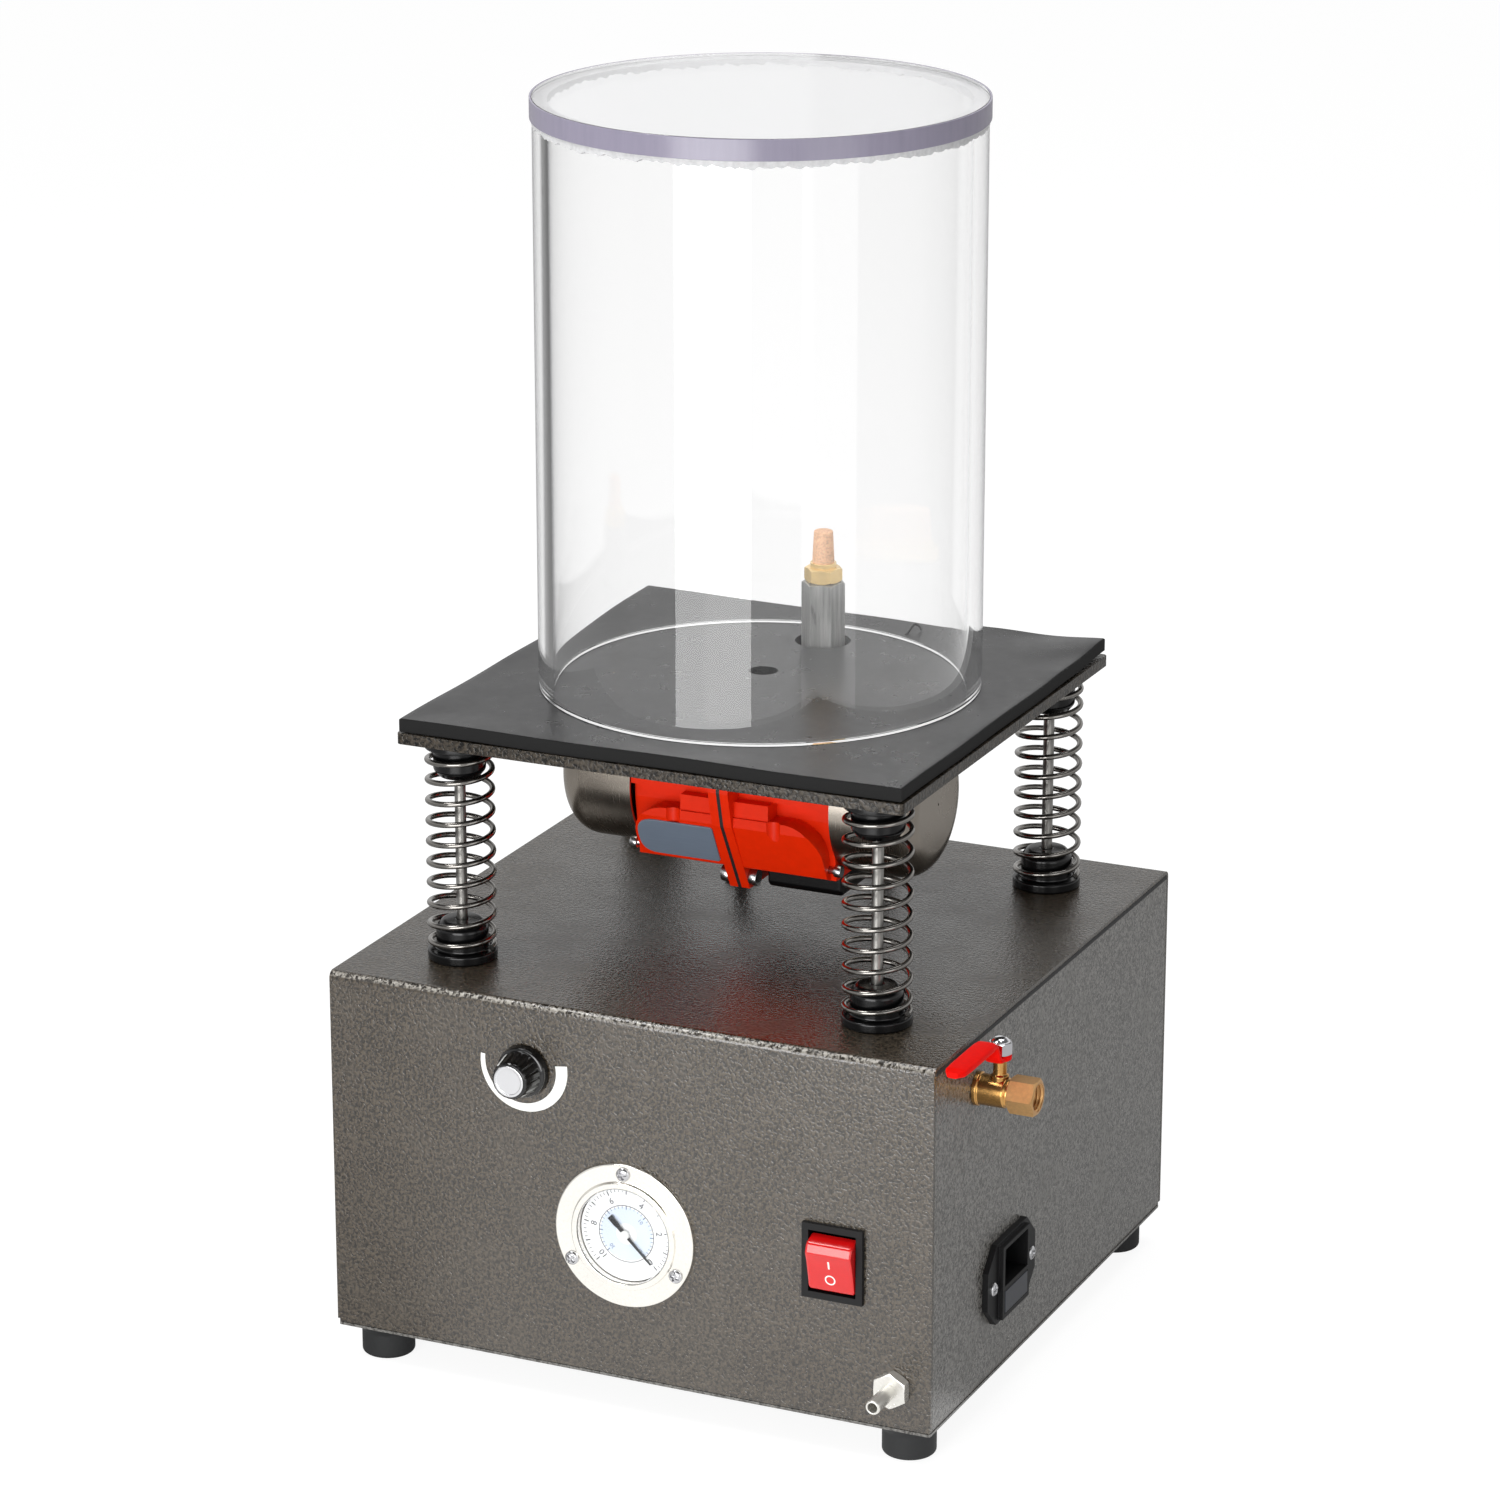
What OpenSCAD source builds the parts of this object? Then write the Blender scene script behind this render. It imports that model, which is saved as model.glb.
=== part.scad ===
// Vacuum investing machine: a sheet-metal cabinet that carries a sprung platform,
// a vibration motor under the platform and a clear lift-off chamber on top of it.
// The origin is on the floor, under the middle of the cabinet. The front is -Y.

/* [Cabinet] */
// Outside width of the cabinet
cabinet_w = 260; // [252:1:290]
// Outside depth of the cabinet
cabinet_d = 254; // [246:1:290]
// Height of the cabinet above its feet
cabinet_h = 151; // [148:1:175]
// Thickness of the cabinet's sheet metal
sheet_t = 1.5; // [1:0.1:1.8]
// Outside radius of the bends along the top edges
bend_r = 3; // [2.5:0.5:5]
// Width of the sheet's edges turned in at the bottom
return_w = 9; // [7:0.5:9]
// Diameter of the screws that hold the base plate
base_screw_d = 3; // [2.5:0.5:4]
// Distance between the base screws from left to right
base_screw_span = 160; // [120:5:170]

/* [Feet] */
// Height of a rubber foot
foot_h = 15.5; // [12:0.5:25]
// Diameter of a foot where it meets the floor
foot_d = 21.5; // [19:0.5:26]
// Diameter of a foot's flared top
foot_flare_d = 28; // [26:0.5:30]
// Distance of a foot's centre from the cabinet's edges
foot_inset = 15; // [15:0.5:22]
// Diameter of the screw through a foot
foot_screw_d = 5; // [4:0.5:6]

/* [Platform] */
// Side of the square steel plate
plate_size = 216; // [212:1:240]
// Thickness of the steel plate
plate_t = 4.5; // [4:0.5:8]
// Side of the square rubber mat
mat_size = 214; // [205:1:236]
// Thickness of the rubber mat
mat_t = 5.5; // [3:0.5:8]
// Free height between the cabinet's top and the plate
platform_gap = 92; // [90:1:105]
// Diameter of the small hole in the mat
mat_hole_d = 12; // [8:1:16]
// Diameter of the mat's hole round the vacuum port
port_hole_d = 23.5; // [22:0.5:28]

/* [Springs] */
// Distance between the springs from left to right
spring_span_x = 180; // [176:1:184]
// Distance between the springs from front to back
spring_span_y = 178; // [174:1:182]
// Outside diameter of a spring
spring_od = 28; // [26:0.5:30]
// Diameter of the spring wire
spring_wire_d = 2.3; // [2:0.1:2.6]
// Number of turns of a spring
spring_turns = 10.5; // [8:0.5:11]
// Height of a spring cup's flange
cup_flange_h = 4; // [3:0.5:6]
// Height of a spring cup's spigot
cup_spigot_h = 12; // [8:0.5:16]
// Diameter of a lower cup's stub in the top sheet
cup_stub_d = 14; // [10:0.5:18]
// Diameter of a guide rod
rod_d = 4.5; // [4:0.5:6]
// Width across flats of a stop nut
stop_nut_af = 8; // [8:0.5:11]

/* [Chamber] */
// Outside diameter of the clear tube
tube_od = 178; // [170:1:190]
// Wall of the clear tube
tube_wall = 6; // [3:0.5:8]
// Height of the clear tube
tube_h = 229; // [180:1:260]
// Overhang of the clear lid past the tube
lid_overhang = 1; // [0:0.5:8]
// Thickness of the clear lid
lid_t = 8.5; // [5:0.5:12]

/* [Vacuum port] */
// Distance of the port behind the platform's centre
port_y = 63.5; // [60:0.5:68]
// Width across flats of the hexagon standpipe
standpipe_af = 16; // [14:0.5:18]
// Height of the standpipe above the plate
standpipe_h = 31; // [24:0.5:45]
// Width across flats of the brass fitting
fitting_af = 14; // [12:0.5:15]
// Height of the brass fitting
fitting_h = 8; // [6:0.5:12]
// Diameter of the filter at its foot
filter_d = 9.2; // [8:0.2:10]
// Height of the filter
filter_h = 13.5; // [10:0.5:20]

/* [Vibration motor] */
// Depth of the motor's axis below the plate
motor_drop = 32; // [32:0.5:34]
// Length of the cast body, both halves
motor_body_l = 87; // [86:1:96]
// Width of the cast feet from front to back
motor_foot_w = 86; // [86:1:100]
// Thickness of the cast feet
motor_foot_t = 8; // [6:0.5:10]
// Diameter of the round end covers
cover_d = 62; // [56:0.5:63]
// Length of an end cover
cover_l = 34.5; // [34:0.5:46]
// Rounding of an end cover's edge
cover_round = 12; // [6:0.5:14]
// Wall of an end cover
cover_wall = 1.2; // [0.8:0.1:2]
// Diameter of the motor shaft
motor_shaft_d = 12; // [10:0.5:14]
// Outside diameter of the stator
stator_d = 42; // [38:0.5:43]
// Inside diameter of the stator
stator_bore_d = 30; // [30:0.5:34]
// Radius of the eccentric weights
weight_r = 25; // [18:0.5:26]
// Thickness of the gasket between the cast halves
gasket_t = 1.5; // [1:0.1:2]

/* [Gauge] */
// Height of the gauge's centre above the cabinet's bottom edge
gauge_z = 61; // [55:1:70]
// Diameter of the gauge's flange
gauge_flange_d = 60; // [56:1:70]
// Thickness of the gauge's flange
gauge_flange_t = 2; // [1.5:0.25:3]
// Diameter of the gauge's case
gauge_case_d = 43; // [40:0.5:44]
// Depth of the gauge's case behind its flange
gauge_depth = 26; // [24:1:32]
// Diameter of the circle of the gauge's screws
gauge_screw_pcd = 52; // [51:0.5:55]

/* [Switch] */
// Distance of the switch from the cabinet's right edge
switch_inset = 41; // [38:1:50]
// Height of the switch's centre above the cabinet's bottom edge
switch_z = 65; // [58:1:72]
// Width of the switch's frame
switch_w = 25.5; // [24.5:0.5:28]
// Height of the switch's frame
switch_h = 31; // [30:0.5:34]

/* [Speed knob] */
// Distance of the knob to the left of the middle
knob_x = 43.5; // [38:0.5:50]
// Distance of the knob's centre below the cabinet's top
knob_drop = 28; // [22:0.5:32]
// Diameter of the knob's skirt
knob_d = 21.5; // [20:0.5:26]
// Height of the knob
knob_h = 13; // [13:0.5:18]
// Diameter of the knob's metal cap
knob_cap_d = 12.8; // [11:0.2:13]

/* [Hose barb] */
// Distance of the barb from the cabinet's right edge
barb_inset = 15.5; // [14:0.5:18]
// Height of the barb's centre above the cabinet's bottom edge
barb_z = 17.4; // [16:0.2:20]
// Width across flats of the barb's hexagon
barb_hex_af = 14; // [12:0.5:15]
// Outside diameter of the barb's tube
barb_d = 6; // [5.5:0.5:7]
// Bore of the barb's tube
barb_bore_d = 4; // [3:0.5:4.5]
// Length of the barb's tube in front of its hexagon
barb_l = 16; // [12:1:24]

/* [Ball valve] */
// Distance of the valve behind the cabinet's front
valve_front = 43; // [39:0.5:47]
// Distance of the valve's axis below the cabinet's top
valve_drop = 22.5; // [21:0.5:26]
// Length of the valve outside the panel
valve_l = 25.5; // [25:0.5:36]
// Diameter of the valve's round body
valve_body_d = 11.4; // [11:0.1:12.6]
// Width across flats of the valve's end
valve_hex_af = 13; // [13:0.5:18]
// Diameter of the thread in the valve's end
valve_port_d = 9.6; // [8:0.2:11]
// Distance of the valve's stem from the panel
stem_out = 9.5; // [9:0.5:10]
// Diameter of the valve's stem
stem_d = 3; // [2.5:0.25:4]
// Length of the lever from the stem
lever_l = 49; // [40:1:60]
// Width of the lever's grip
lever_w = 9; // [8:0.5:12]

/* [Mains inlet] */
// Distance of the inlet behind the cabinet's front
inlet_front = 76.5; // [71:0.5:81]
// Height of the inlet's centre above the cabinet's bottom edge
inlet_z = 39.3; // [36:0.5:44]
// Width of the inlet's flange
inlet_flange_w = 50; // [48:0.5:54]
// Height of the inlet's flange
inlet_flange_h = 34; // [33:0.5:40]
// Distance between the inlet's screws
inlet_screw_span = 40; // [38:0.5:42]

/* [Vacuum pump] */
// Outside diameter of the pump's motor casing
pump_d = 76; // [70:1:78]
// Length of the pump's motor casing
pump_l = 90; // [80:1:94]
// Diameter of the pump's shaft
pump_shaft_d = 10; // [8:0.5:12]
// Height of the pump's axis above the base plate
pump_axis_h = 54; // [50:1:56]

/* [Clearances] */
// Radial clearance of shafts, rods and pins that turn or slide
running_gap = 0.05; // [0.02:0.01:0.08]
// Clearance round pieces that are fixed in a hole
fit_gap = 0.2; // [0.1:0.05:0.3]
// Gap between pieces that rest on each other and move apart
seat_gap = 0.1; // [0.05:0.05:0.3]
// Clearance between rotors and what surrounds them
air_gap = 0.5; // [0.3:0.1:1]

/* [Hidden] */
$fn = 64;
over = 1;

cabinet_z = foot_h;
front_y = -cabinet_d / 2;
right_x = cabinet_w / 2;
barb_x = right_x - barb_inset;
switch_x = right_x - switch_inset;
knob_z = cabinet_h - knob_drop;
valve_y = cabinet_d / 2 - valve_front;
valve_z = cabinet_h - valve_drop;
inlet_y = cabinet_d / 2 - inlet_front;
base_top = cabinet_z + sheet_t;
wrap_h = cabinet_h - sheet_t;
cabinet_top = cabinet_z + cabinet_h;
top_inside = cabinet_top - sheet_t;
panel_inset = sheet_t + fit_gap;
base_lip = 0.6;
base_screw_head_d = 2 * base_screw_d;
base_screw_head_h = 1.8;
return_y = cabinet_d / 2 - sheet_t - return_w / 2;

foot_edge = 1;
foot_recess_d = 11;
foot_recess_h = 5;
foot_head_h = 3;
foot_nut_af = 1.6 * foot_screw_d;
foot_nut_h = 4;
foot_taper_h = 4;

plate_z = cabinet_top + platform_gap;
plate_top = plate_z + plate_t;
mat_top = plate_top + mat_t;
mat_hole_at = [-5, 14];
plate_corner_r = 2;

cup_d = spring_od;
cup_cone_h = 3;
cup_cone_d = 16;
cup_stub_l = sheet_t + 2.5;
rod_head_h = 2.5;
rod_head_d = rod_d + 2 * rod_head_h;
stop_nut_h = 4;
rod_tail = 3;
stop_nut_z = cabinet_top - cup_stub_l - 3 * seat_gap - stop_nut_h;

spring_z = cabinet_top + cup_flange_h + seat_gap;
spring_l = platform_gap - 2 * cup_flange_h - 2 * seat_gap;
spring_rings = 8;
spring_sides = 6;
cup_spigot_d = (spring_od - spring_wire_d) * cos(180 / spring_rings) - spring_wire_d - 2 * fit_gap;
end_pitch = spring_wire_d + 0.9;
closed_turn = 0.4;
open_turn = 1.2;

tube_z = mat_top + seat_gap;
lid_d = tube_od + 2 * lid_overhang;
lid_z = tube_z + tube_h;

standpipe_bore_d = 6;
port_thread_d = 10;
thread_depth = 8;
nipple_hex_af = 17;
nipple_hex_h = 6;
port_thread_l = plate_t + nipple_hex_h - 2 * over;
hose_d = 8;
nipple_d = 7;
nipple_l = 14;
fitting_collar_h = 2;
fitting_collar_d = 11;
filter_tip_d = filter_d - 1.4;
filter_tip_h = 1;

motor_z = plate_z - motor_drop;
body_half = motor_body_l / 2;
foot_y = motor_foot_w / 2;
wall_y = 30;
pocket_y = 26;
pocket_top = 1.5;
pad_y = 36;
pad_top = -5;
pad_knee = -9;
pad_foot_y = 25.5;
pad_foot_z = -29;
pad_end = body_half - 2.5;
pad_round = 15;
bottom_y = 22;
bottom_z = -30.5;
boss_y = 35;
boss_l = 18.5;
split_flange_t = 3.6;
split_top_y = 41;
split_top_z = 6;
split_knee_y = 37;
split_knee_z = -9;
split_foot_y = 19.5;
split_foot_z = -40;
split_bolt_y = 18.5;
split_bolt_z = -35;
split_bolt_d = 4;
split_bolt_head_d = 7;
split_bolt_head_h = 3.5;
end_bolt_y = 23.4;
end_bolt_z = -25.6;
end_bolt_d = 3;
end_bolt_head_d = 5;
end_bolt_l = 8;
mount_bolt_d = 6;
mount_bolt_x = 22;
mount_bolt_inset = 6;
mount_bolt_y = foot_y - mount_bolt_inset;
mount_bolt_head_h = 4;
mount_bolt_af = 10;
stator_l = 52;
bearing_d = 28;
bearing_w = 9;
bearing_x = body_half - 1 - bearing_w;
shaft_room_d = motor_shaft_d + 4;
shaft_end_room = 6;
shaft_half = body_half + cover_l - cover_wall - shaft_end_room;
weight_t = 11;
weight_x = body_half + cover_l - cover_round - weight_t - 3;
box_x = [10, body_half - 1];
box_half_d = 15;
box_h = 9.5;
box_edge = 2;

gauge_wall = 1.5;
gauge_rim = 1;
gauge_rim_h = 1.2;
gauge_inside_d = gauge_case_d - 2 * gauge_wall;
gauge_stem_d = 10;
gauge_stem_l = 14;
gauge_port_d = 3;
gauge_screw_angles = [90, 210, 330];
dial_depth = 1;
dial_t = 0.8;
lens_t = 1.2;
movement_d = 12;
bourdon_r = 14;
bourdon_d = 3;
bourdon_arc = 270;
staff_d = 1.5;
staff_l = 7;
needle_lift = 0.8;
needle_t = 0.8;
needle_hub_d = 5;
needle_room = 4.5;
needle_tip = gauge_inside_d / 2 - needle_room;
needle_tail = 6.5;
needle_rest = -45;
panel_screw_d = 3;
panel_screw_head_d = 5.6;
panel_screw_head_h = 1.6;
panel_screw_l = 6;

switch_frame_t = 2;
switch_lip = 1.75;
switch_body_w = switch_w - 2 * switch_lip;
switch_body_h = switch_h - 2 * switch_lip;
switch_wall = 1;
switch_depth = 24;
rocker_pivot = -3;
rocker_tilt = 14;
rocker_pin_d = 3;
rocker_side_gap = 0.3;
rocker_end_room = 1.5;
rocker_crown = 5.2;
rocker_bevel = 2.5;
rocker_skirt = -1;
rocker_dip = 0.6;
rocker_keel = 5.5;
rocker_keel_w = 3;
lug_l = 7;
lug_w = 5;
lug_t = 0.8;

pot_d = 24;
pot_l = 12;
pot_bush_d = 7;
pot_bush_l = 6.5;
pot_bore_l = 12;
pot_nut_af = 10;
pot_nut_h = 2.2;
knob_shaft_d = 6;
knob_lift = 0.8;
knob_skirt_h = 3;
knob_waist_d = knob_d - 3.5;
knob_crown_d = knob_cap_d + 2;
knob_cap_t = 1.2;
knob_cap_proud = 0.5;
knob_room_d = 14;
knob_room_h = 7;
flute_count = 18;
flute_d = 1.8;

barb_hex_h = 5;
barb_thread_d = 8;
barb_inside_l = 14;
lock_nut_h = 4;
barb_nut_af = 13;

collar_d = valve_body_d + 1.2;
collar_t = 2;
valve_hex_l = 11;
valve_groove_l = 1;
valve_groove_d = valve_body_d - 1.4;
valve_port_l = 10;
valve_flow_d = 4.5;
valve_thread_d = 9.6;
valve_inside_l = 16;
valve_nut_af = 15;
ball_d = 8.6;
bonnet_h = 13.5;
bonnet_d = stem_d + 2.4;
lever_t = 2.2;
lever_eye_d = 9;
lever_rise = 9;
lever_ramp_y = [6, 13.5];
lever_neck_w = 7;
grip_t = 3.2;
grip_start = 15;
lever_nut_af = 8.5;
lever_nut_h = 5;
lever_dome_h = 1.8;

inlet_flange_t = 2.5;
inlet_chamfer = 9;
bezel_w = 28;
bezel_h = 31;
bezel_t = 4.5;
inlet_body_w = 26.4;
inlet_body_h = 30;
inlet_depth = 26;
socket_w = 24;
socket_h = 15.6;
socket_up = 6;
socket_depth = 14;
drawer_w = 24;
drawer_h = 9.6;
drawer_down = 8.6;
drawer_depth = 22;
drawer_face_t = 2;
pin_w = 2;
pin_h = 4;
pin_out = -3;
pin_in = -34;
pin_places = [[-7, 3.5], [7, 3.5], [0, 9]];
fuse_d = 5.2;
fuse_l = 20;

pump_left = 45;
pump_back = 75;
pump_x = pump_left - right_x;
pump_y = cabinet_d / 2 - pump_back;
pump_z = base_top + pump_axis_h;
pump_wall = 3;
pump_stator_d = 54;
pump_saddle_w = 50;
pump_saddle_l = 20;
pump_head_l = 40;
pump_head_w = 64;
pump_head_up = 40;
pump_head_down = 34;
crank_room_d = 52;
crank_d = 40;
crank_t = 10;
pump_port_gap = 20;
pump_port_l = 10;
head_x = pump_x + pump_l;

manifold_front = 55;
manifold_at = [20, front_y + manifold_front];
manifold_size = [60, 20, 20];
manifold_ports = [8, 22, 38, 52];
manifold_port_l = 10;

board_left = 26;
board_front = 29;
board_at = [board_left - right_x, front_y + board_front];
board_size = [60, 46, 1.6];
standoff_h = 8;
standoff_d = 6;
standoff_inset = 4;
heatsink_size = [12, 26, 26];
terminal_size = [26, 10, 12.4];
capacitor_d = 12;
capacitor_h = 16;

hose_exit = [14, 96];
cable_exit = [-28, 44];
cable_d = 6;
grommet_flange_h = 2;
grommet_flange = 3;
hose_sides = 8;

// Where the hoses and the cable end on their fittings
gauge_tail = [0, front_y + gauge_depth + gauge_stem_l, cabinet_z + gauge_z];
valve_tail = [right_x - valve_inside_l, -valve_y, cabinet_z + valve_z];
barb_tail = [barb_x, front_y + barb_inside_l, cabinet_z + barb_z];
manifold_tail = concat(manifold_at + [0, manifold_size[1] / 2], base_top + manifold_size[2] + manifold_port_l);
pump_inlet = [head_x + pump_head_l / 2, pump_y - pump_port_gap / 2, pump_z + pump_head_up + pump_port_l];
pump_outlet = pump_inlet + [0, pump_port_gap, 0];
port_tail = [0, port_y, plate_z - nipple_hex_h - nipple_l];
terminal_tail = [(box_x[0] + box_x[1]) / 2, box_half_d, motor_z + bottom_z - box_h / 2];
board_tail = concat(
    board_at + [board_size[0] - terminal_size[0] / 2, board_size[1] - terminal_size[1] / 2],
    base_top + standoff_h + board_size[2] + terminal_size[2]
);
hose_top = concat(hose_exit, cabinet_top);
cable_top = concat(cable_exit, cabinet_top);
hose_over = min(26, top_inside - pump_inlet[2] - hose_d);

function manifold_port(i) = manifold_tail + [manifold_ports[i], 0, 0];
function along(from, steps) = [for (s = steps) from + s];

// Routes of the hoses and of the motor cable, as points along their centre lines
gauge_hose_route = concat(
    along(gauge_tail, [[0, 0, 0], [0, 8, 0], [3, 18, -2.5]]),
    along(manifold_port(0), [[-15, -1, 21], [-4, 0, 13], [0, 0, 6], [0, 0, 0]])
);
valve_hose_route = concat(
    along(valve_tail, [[0, 0, 0], [-8, 0, 0], [-17, 4, -6], [-24, 10, -24]]),
    along(manifold_port(3), [[8, -4, 43], [0, 0, 15], [0, 0, 0]])
);
suction_hose_route = concat(
    along(manifold_port(2), [[0, 0, 0], [0, 0, 13], [-1, 10, 38]]),
    along(pump_inlet, [
        [25, -66, -5], [13, -32, hose_over - 9], [4, -8, hose_over], [0, 0, hose_over - 8], [0, 0, 0]
    ])
);
exhaust_hose_route = concat(
    along(pump_outlet, [
        [0, 0, 0], [0, 0, 14], [7, 1, hose_over - 2], [23, 3, hose_over - 2], [45, 4, 9]
    ]),
    along([right_x, pump_y, pump_z], [[-42, 8, 29], [-33, -12, -9], [-29, -44, -37]]),
    along(barb_tail, [[-8.5, 77, -3.9], [-3.5, 33, -1.9], [0, 12, 0], [0, 0, 0]])
);
platform_hose_route = concat(
    along(manifold_port(1), [[0, 0, 0], [0, 0, 13], [-2, 10, 41]]),
    along(hose_top, [
        [16, -124, -50.5], [0, -96, -32.5], [-8, -66, -23.5], [-8, -36, -19.5], [-4, -10, -19.5],
        [0, 0, -12.5], [0, 0, 11.5]
    ]),
    along(port_tail, [[13, 26.5, -44.5], [6, 10.5, -22.5], [0, 0, -9.5], [0, 0, 0]])
);
motor_cable_route = concat(
    along(terminal_tail, [[0, 0, 0], [0, 9, 0], [-9, 19, 0], [-27, 27, 0]]),
    along(cable_top, [[10, 0, 23.5], [0, 0, 15.5], [0, 0, -14.5], [-6, -10, -26.5], [-20, -36, -44.5]]),
    along(board_tail, [[-1, 27, 53], [0, 0, 23], [0, 0, 0]])
);

hammertone = [0.27, 0.25, 0.23];
black_plastic = [0.06, 0.06, 0.06];
black_rubber = [0.13, 0.13, 0.14];
bright_steel = [0.72, 0.72, 0.70];
dark_steel = [0.40, 0.40, 0.41];
brass = [0.74, 0.56, 0.28];
clear_acrylic = [0.88, 0.88, 0.94, 0.35];
motor_red = [0.92, 0.22, 0.06];
signal_red = [0.85, 0.05, 0.07];
white_paint = [0.93, 0.93, 0.92];
copper = [0.72, 0.42, 0.25];
bronze = [0.80, 0.55, 0.40];
board_green = [0.08, 0.32, 0.17];
cast_aluminium = [0.62, 0.63, 0.64];

// Places: local Z points out of the panel, local Y points up
module on_front(x, z) {
    translate([x, front_y, cabinet_z + z]) rotate([90, 0, 0]) children();
}

module on_right(y, z) {
    translate([right_x, y, cabinet_z + z]) rotate([90, 0, 90]) children();
}

module at_stem() {
    translate([right_x + stem_out, -valve_y, cabinet_z + valve_z]) children();
}

module at_springs() {
    for (sx = [-1, 1], sy = [-1, 1]) {
        translate([sx * spring_span_x / 2, sy * spring_span_y / 2, 0]) children();
    }
}

module at_feet() {
    for (sx = [-1, 1], sy = [-1, 1]) {
        translate([sx * (cabinet_w / 2 - foot_inset), sy * (cabinet_d / 2 - foot_inset), 0]) children();
    }
}

module at_base_screws() {
    for (sx = [-1, 1], sy = [-1, 1]) {
        translate([sx * base_screw_span / 2, sy * return_y, cabinet_z]) children();
    }
}

module at_gauge_screws() {
    on_front(0, gauge_z) for (a = gauge_screw_angles) {
        rotate(a) translate([gauge_screw_pcd / 2, 0, 0]) children();
    }
}

module at_inlet_screws() {
    on_right(-inlet_y, inlet_z) for (s = [-1, 1]) translate([s * inlet_screw_span / 2, 0, 0]) children();
}

// Shapes that repeat
module hole(d, reach) {
    translate([0, 0, -reach]) cylinder(d = d, h = 2 * reach);
}

module pipe(d, bore, h) {
    difference() {
        cylinder(d = d, h = h);
        translate([0, 0, -over]) cylinder(d = bore, h = h + 2 * over);
    }
}

module hexagon(af, h) {
    cylinder(d = af / cos(30), h = h, $fn = 6);
}

module hex_nut(af, bore, h) {
    difference() {
        hexagon(af, h);
        hole(bore, h + over);
    }
}

module slab(size, z) {
    translate([0, 0, z + size[2] / 2]) cube(size, center = true);
}

module along_width(l) {
    rotate([90, 0, 90]) linear_extrude(l, center = true) children();
}

module along_x(x, l) {
    translate([x, 0, 0]) rotate([90, 0, 90]) linear_extrude(l) children();
}

module rod_x(d, x, l) {
    translate([x, 0, 0]) rotate([0, 90, 0]) cylinder(d = d, h = l);
}

module screw(d, l, head_d, head_h) {
    translate([0, 0, -l]) cylinder(d = d, h = l);
    cylinder(d = head_d, h = head_h);
}

// A round tube swept along points: rings of equal sides that turn with the path
function unit(v) = v / norm(v);

function tangents(p) = [
    for (i = [0:len(p) - 1]) unit(p[min(i + 1, len(p) - 1)] - p[max(i - 1, 0)])
];

function carried(t, n, i = 0) = i >= len(t)
    ? []
    : let (u = unit(n - (n * t[i]) * t[i])) concat([u], carried(t, u, i + 1));

function ring_points(p, r, sides, n) = let (t = tangents(p), u = carried(t, n)) [
    for (i = [0:len(p) - 1], k = [0:sides - 1])
        p[i] + r * (cos(360 * k / sides) * u[i] + sin(360 * k / sides) * cross(t[i], u[i]))
];

function ring_faces(rings, sides) = concat(
    [for (k = [1:sides - 2]) [0, k, k + 1]],
    [for (i = [0:rings - 2], k = [0:sides - 1])
        let (a = i * sides, b = a + sides, m = (k + 1) % sides) [a + k, b + k, b + m]],
    [for (i = [0:rings - 2], k = [0:sides - 1])
        let (a = i * sides, b = a + sides, m = (k + 1) % sides) [a + k, b + m, a + m]],
    [for (k = [1:sides - 2]) (rings - 1) * sides * [1, 1, 1] + [0, k + 1, k]]
);

module swept_tube(p, d, sides, n) {
    polyhedron(points = ring_points(p, d / 2, sides, n), faces = ring_faces(len(p), sides));
}

// A spring's centre line: closed turns at both ends and an even pitch between them
function ramp(u) = min(1, max(0, (u - closed_turn) / (open_turn - closed_turn)));

spring_steps = spring_turns * spring_rings;
spring_shares = [
    for (i = [0:spring_steps - 1]) let (u = (i + 0.5) / spring_rings) ramp(min(u, spring_turns - u))
];
share_sum = spring_shares * [for (s = spring_shares) 1];
spring_rise = spring_l - spring_wire_d;
open_pitch = end_pitch + (spring_rise - end_pitch * spring_turns) * spring_rings / share_sum;
spring_climb = [
    for (i = 0, z = 0; i <= spring_steps;
        z = z + (end_pitch + (open_pitch - end_pitch) * (i < spring_steps ? spring_shares[i] : 0))
            / spring_rings,
        i = i + 1)
    z
];
spring_path = [
    for (i = [0:spring_steps]) [
        (spring_od - spring_wire_d) / 2 * cos(360 * i / spring_rings),
        (spring_od - spring_wire_d) / 2 * sin(360 * i / spring_rings),
        spring_climb[i] + spring_wire_d / 2
    ]
];
spring_self_gap = min([
    for (i = [0:spring_steps - 6], j = [i + 6:spring_steps]) norm(spring_path[i] - spring_path[j])
]) - spring_wire_d;
echo(least_gap_between_spring_turns = spring_self_gap);

module spring(sx, sy) {
    color(bright_steel)
        translate([sx * spring_span_x / 2, sy * spring_span_y / 2, spring_z])
            swept_tube(spring_path, spring_wire_d, spring_sides, [1, 0, 0]);
}

// Cabinet
module wrap_outline(inset, drop) {
    w = cabinet_d - 2 * inset;
    h = wrap_h - inset + drop;
    r = bend_r - inset;
    translate([0, base_top - drop]) {
        translate([-w / 2, 0]) square([w, h - r]);
        translate([r - w / 2, 0]) square([w - 2 * r, h]);
        for (s = [-1, 1]) translate([s * (w / 2 - r), h - r]) circle(r);
    }
}

module front_holes() {
    on_front(0, gauge_z) hole(gauge_case_d + 2 * fit_gap, 2 * sheet_t);
    at_gauge_screws() hole(panel_screw_d + 2 * fit_gap, 2 * sheet_t);
    on_front(switch_x, switch_z) {
        cube([switch_body_w + 2 * fit_gap, switch_body_h + 2 * fit_gap, 4 * sheet_t], center = true);
    }
    on_front(-knob_x, knob_z) hole(pot_bush_d + 2 * fit_gap, 2 * sheet_t);
    on_front(barb_x, barb_z) hole(barb_thread_d + 2 * fit_gap, 2 * sheet_t);
}

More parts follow.
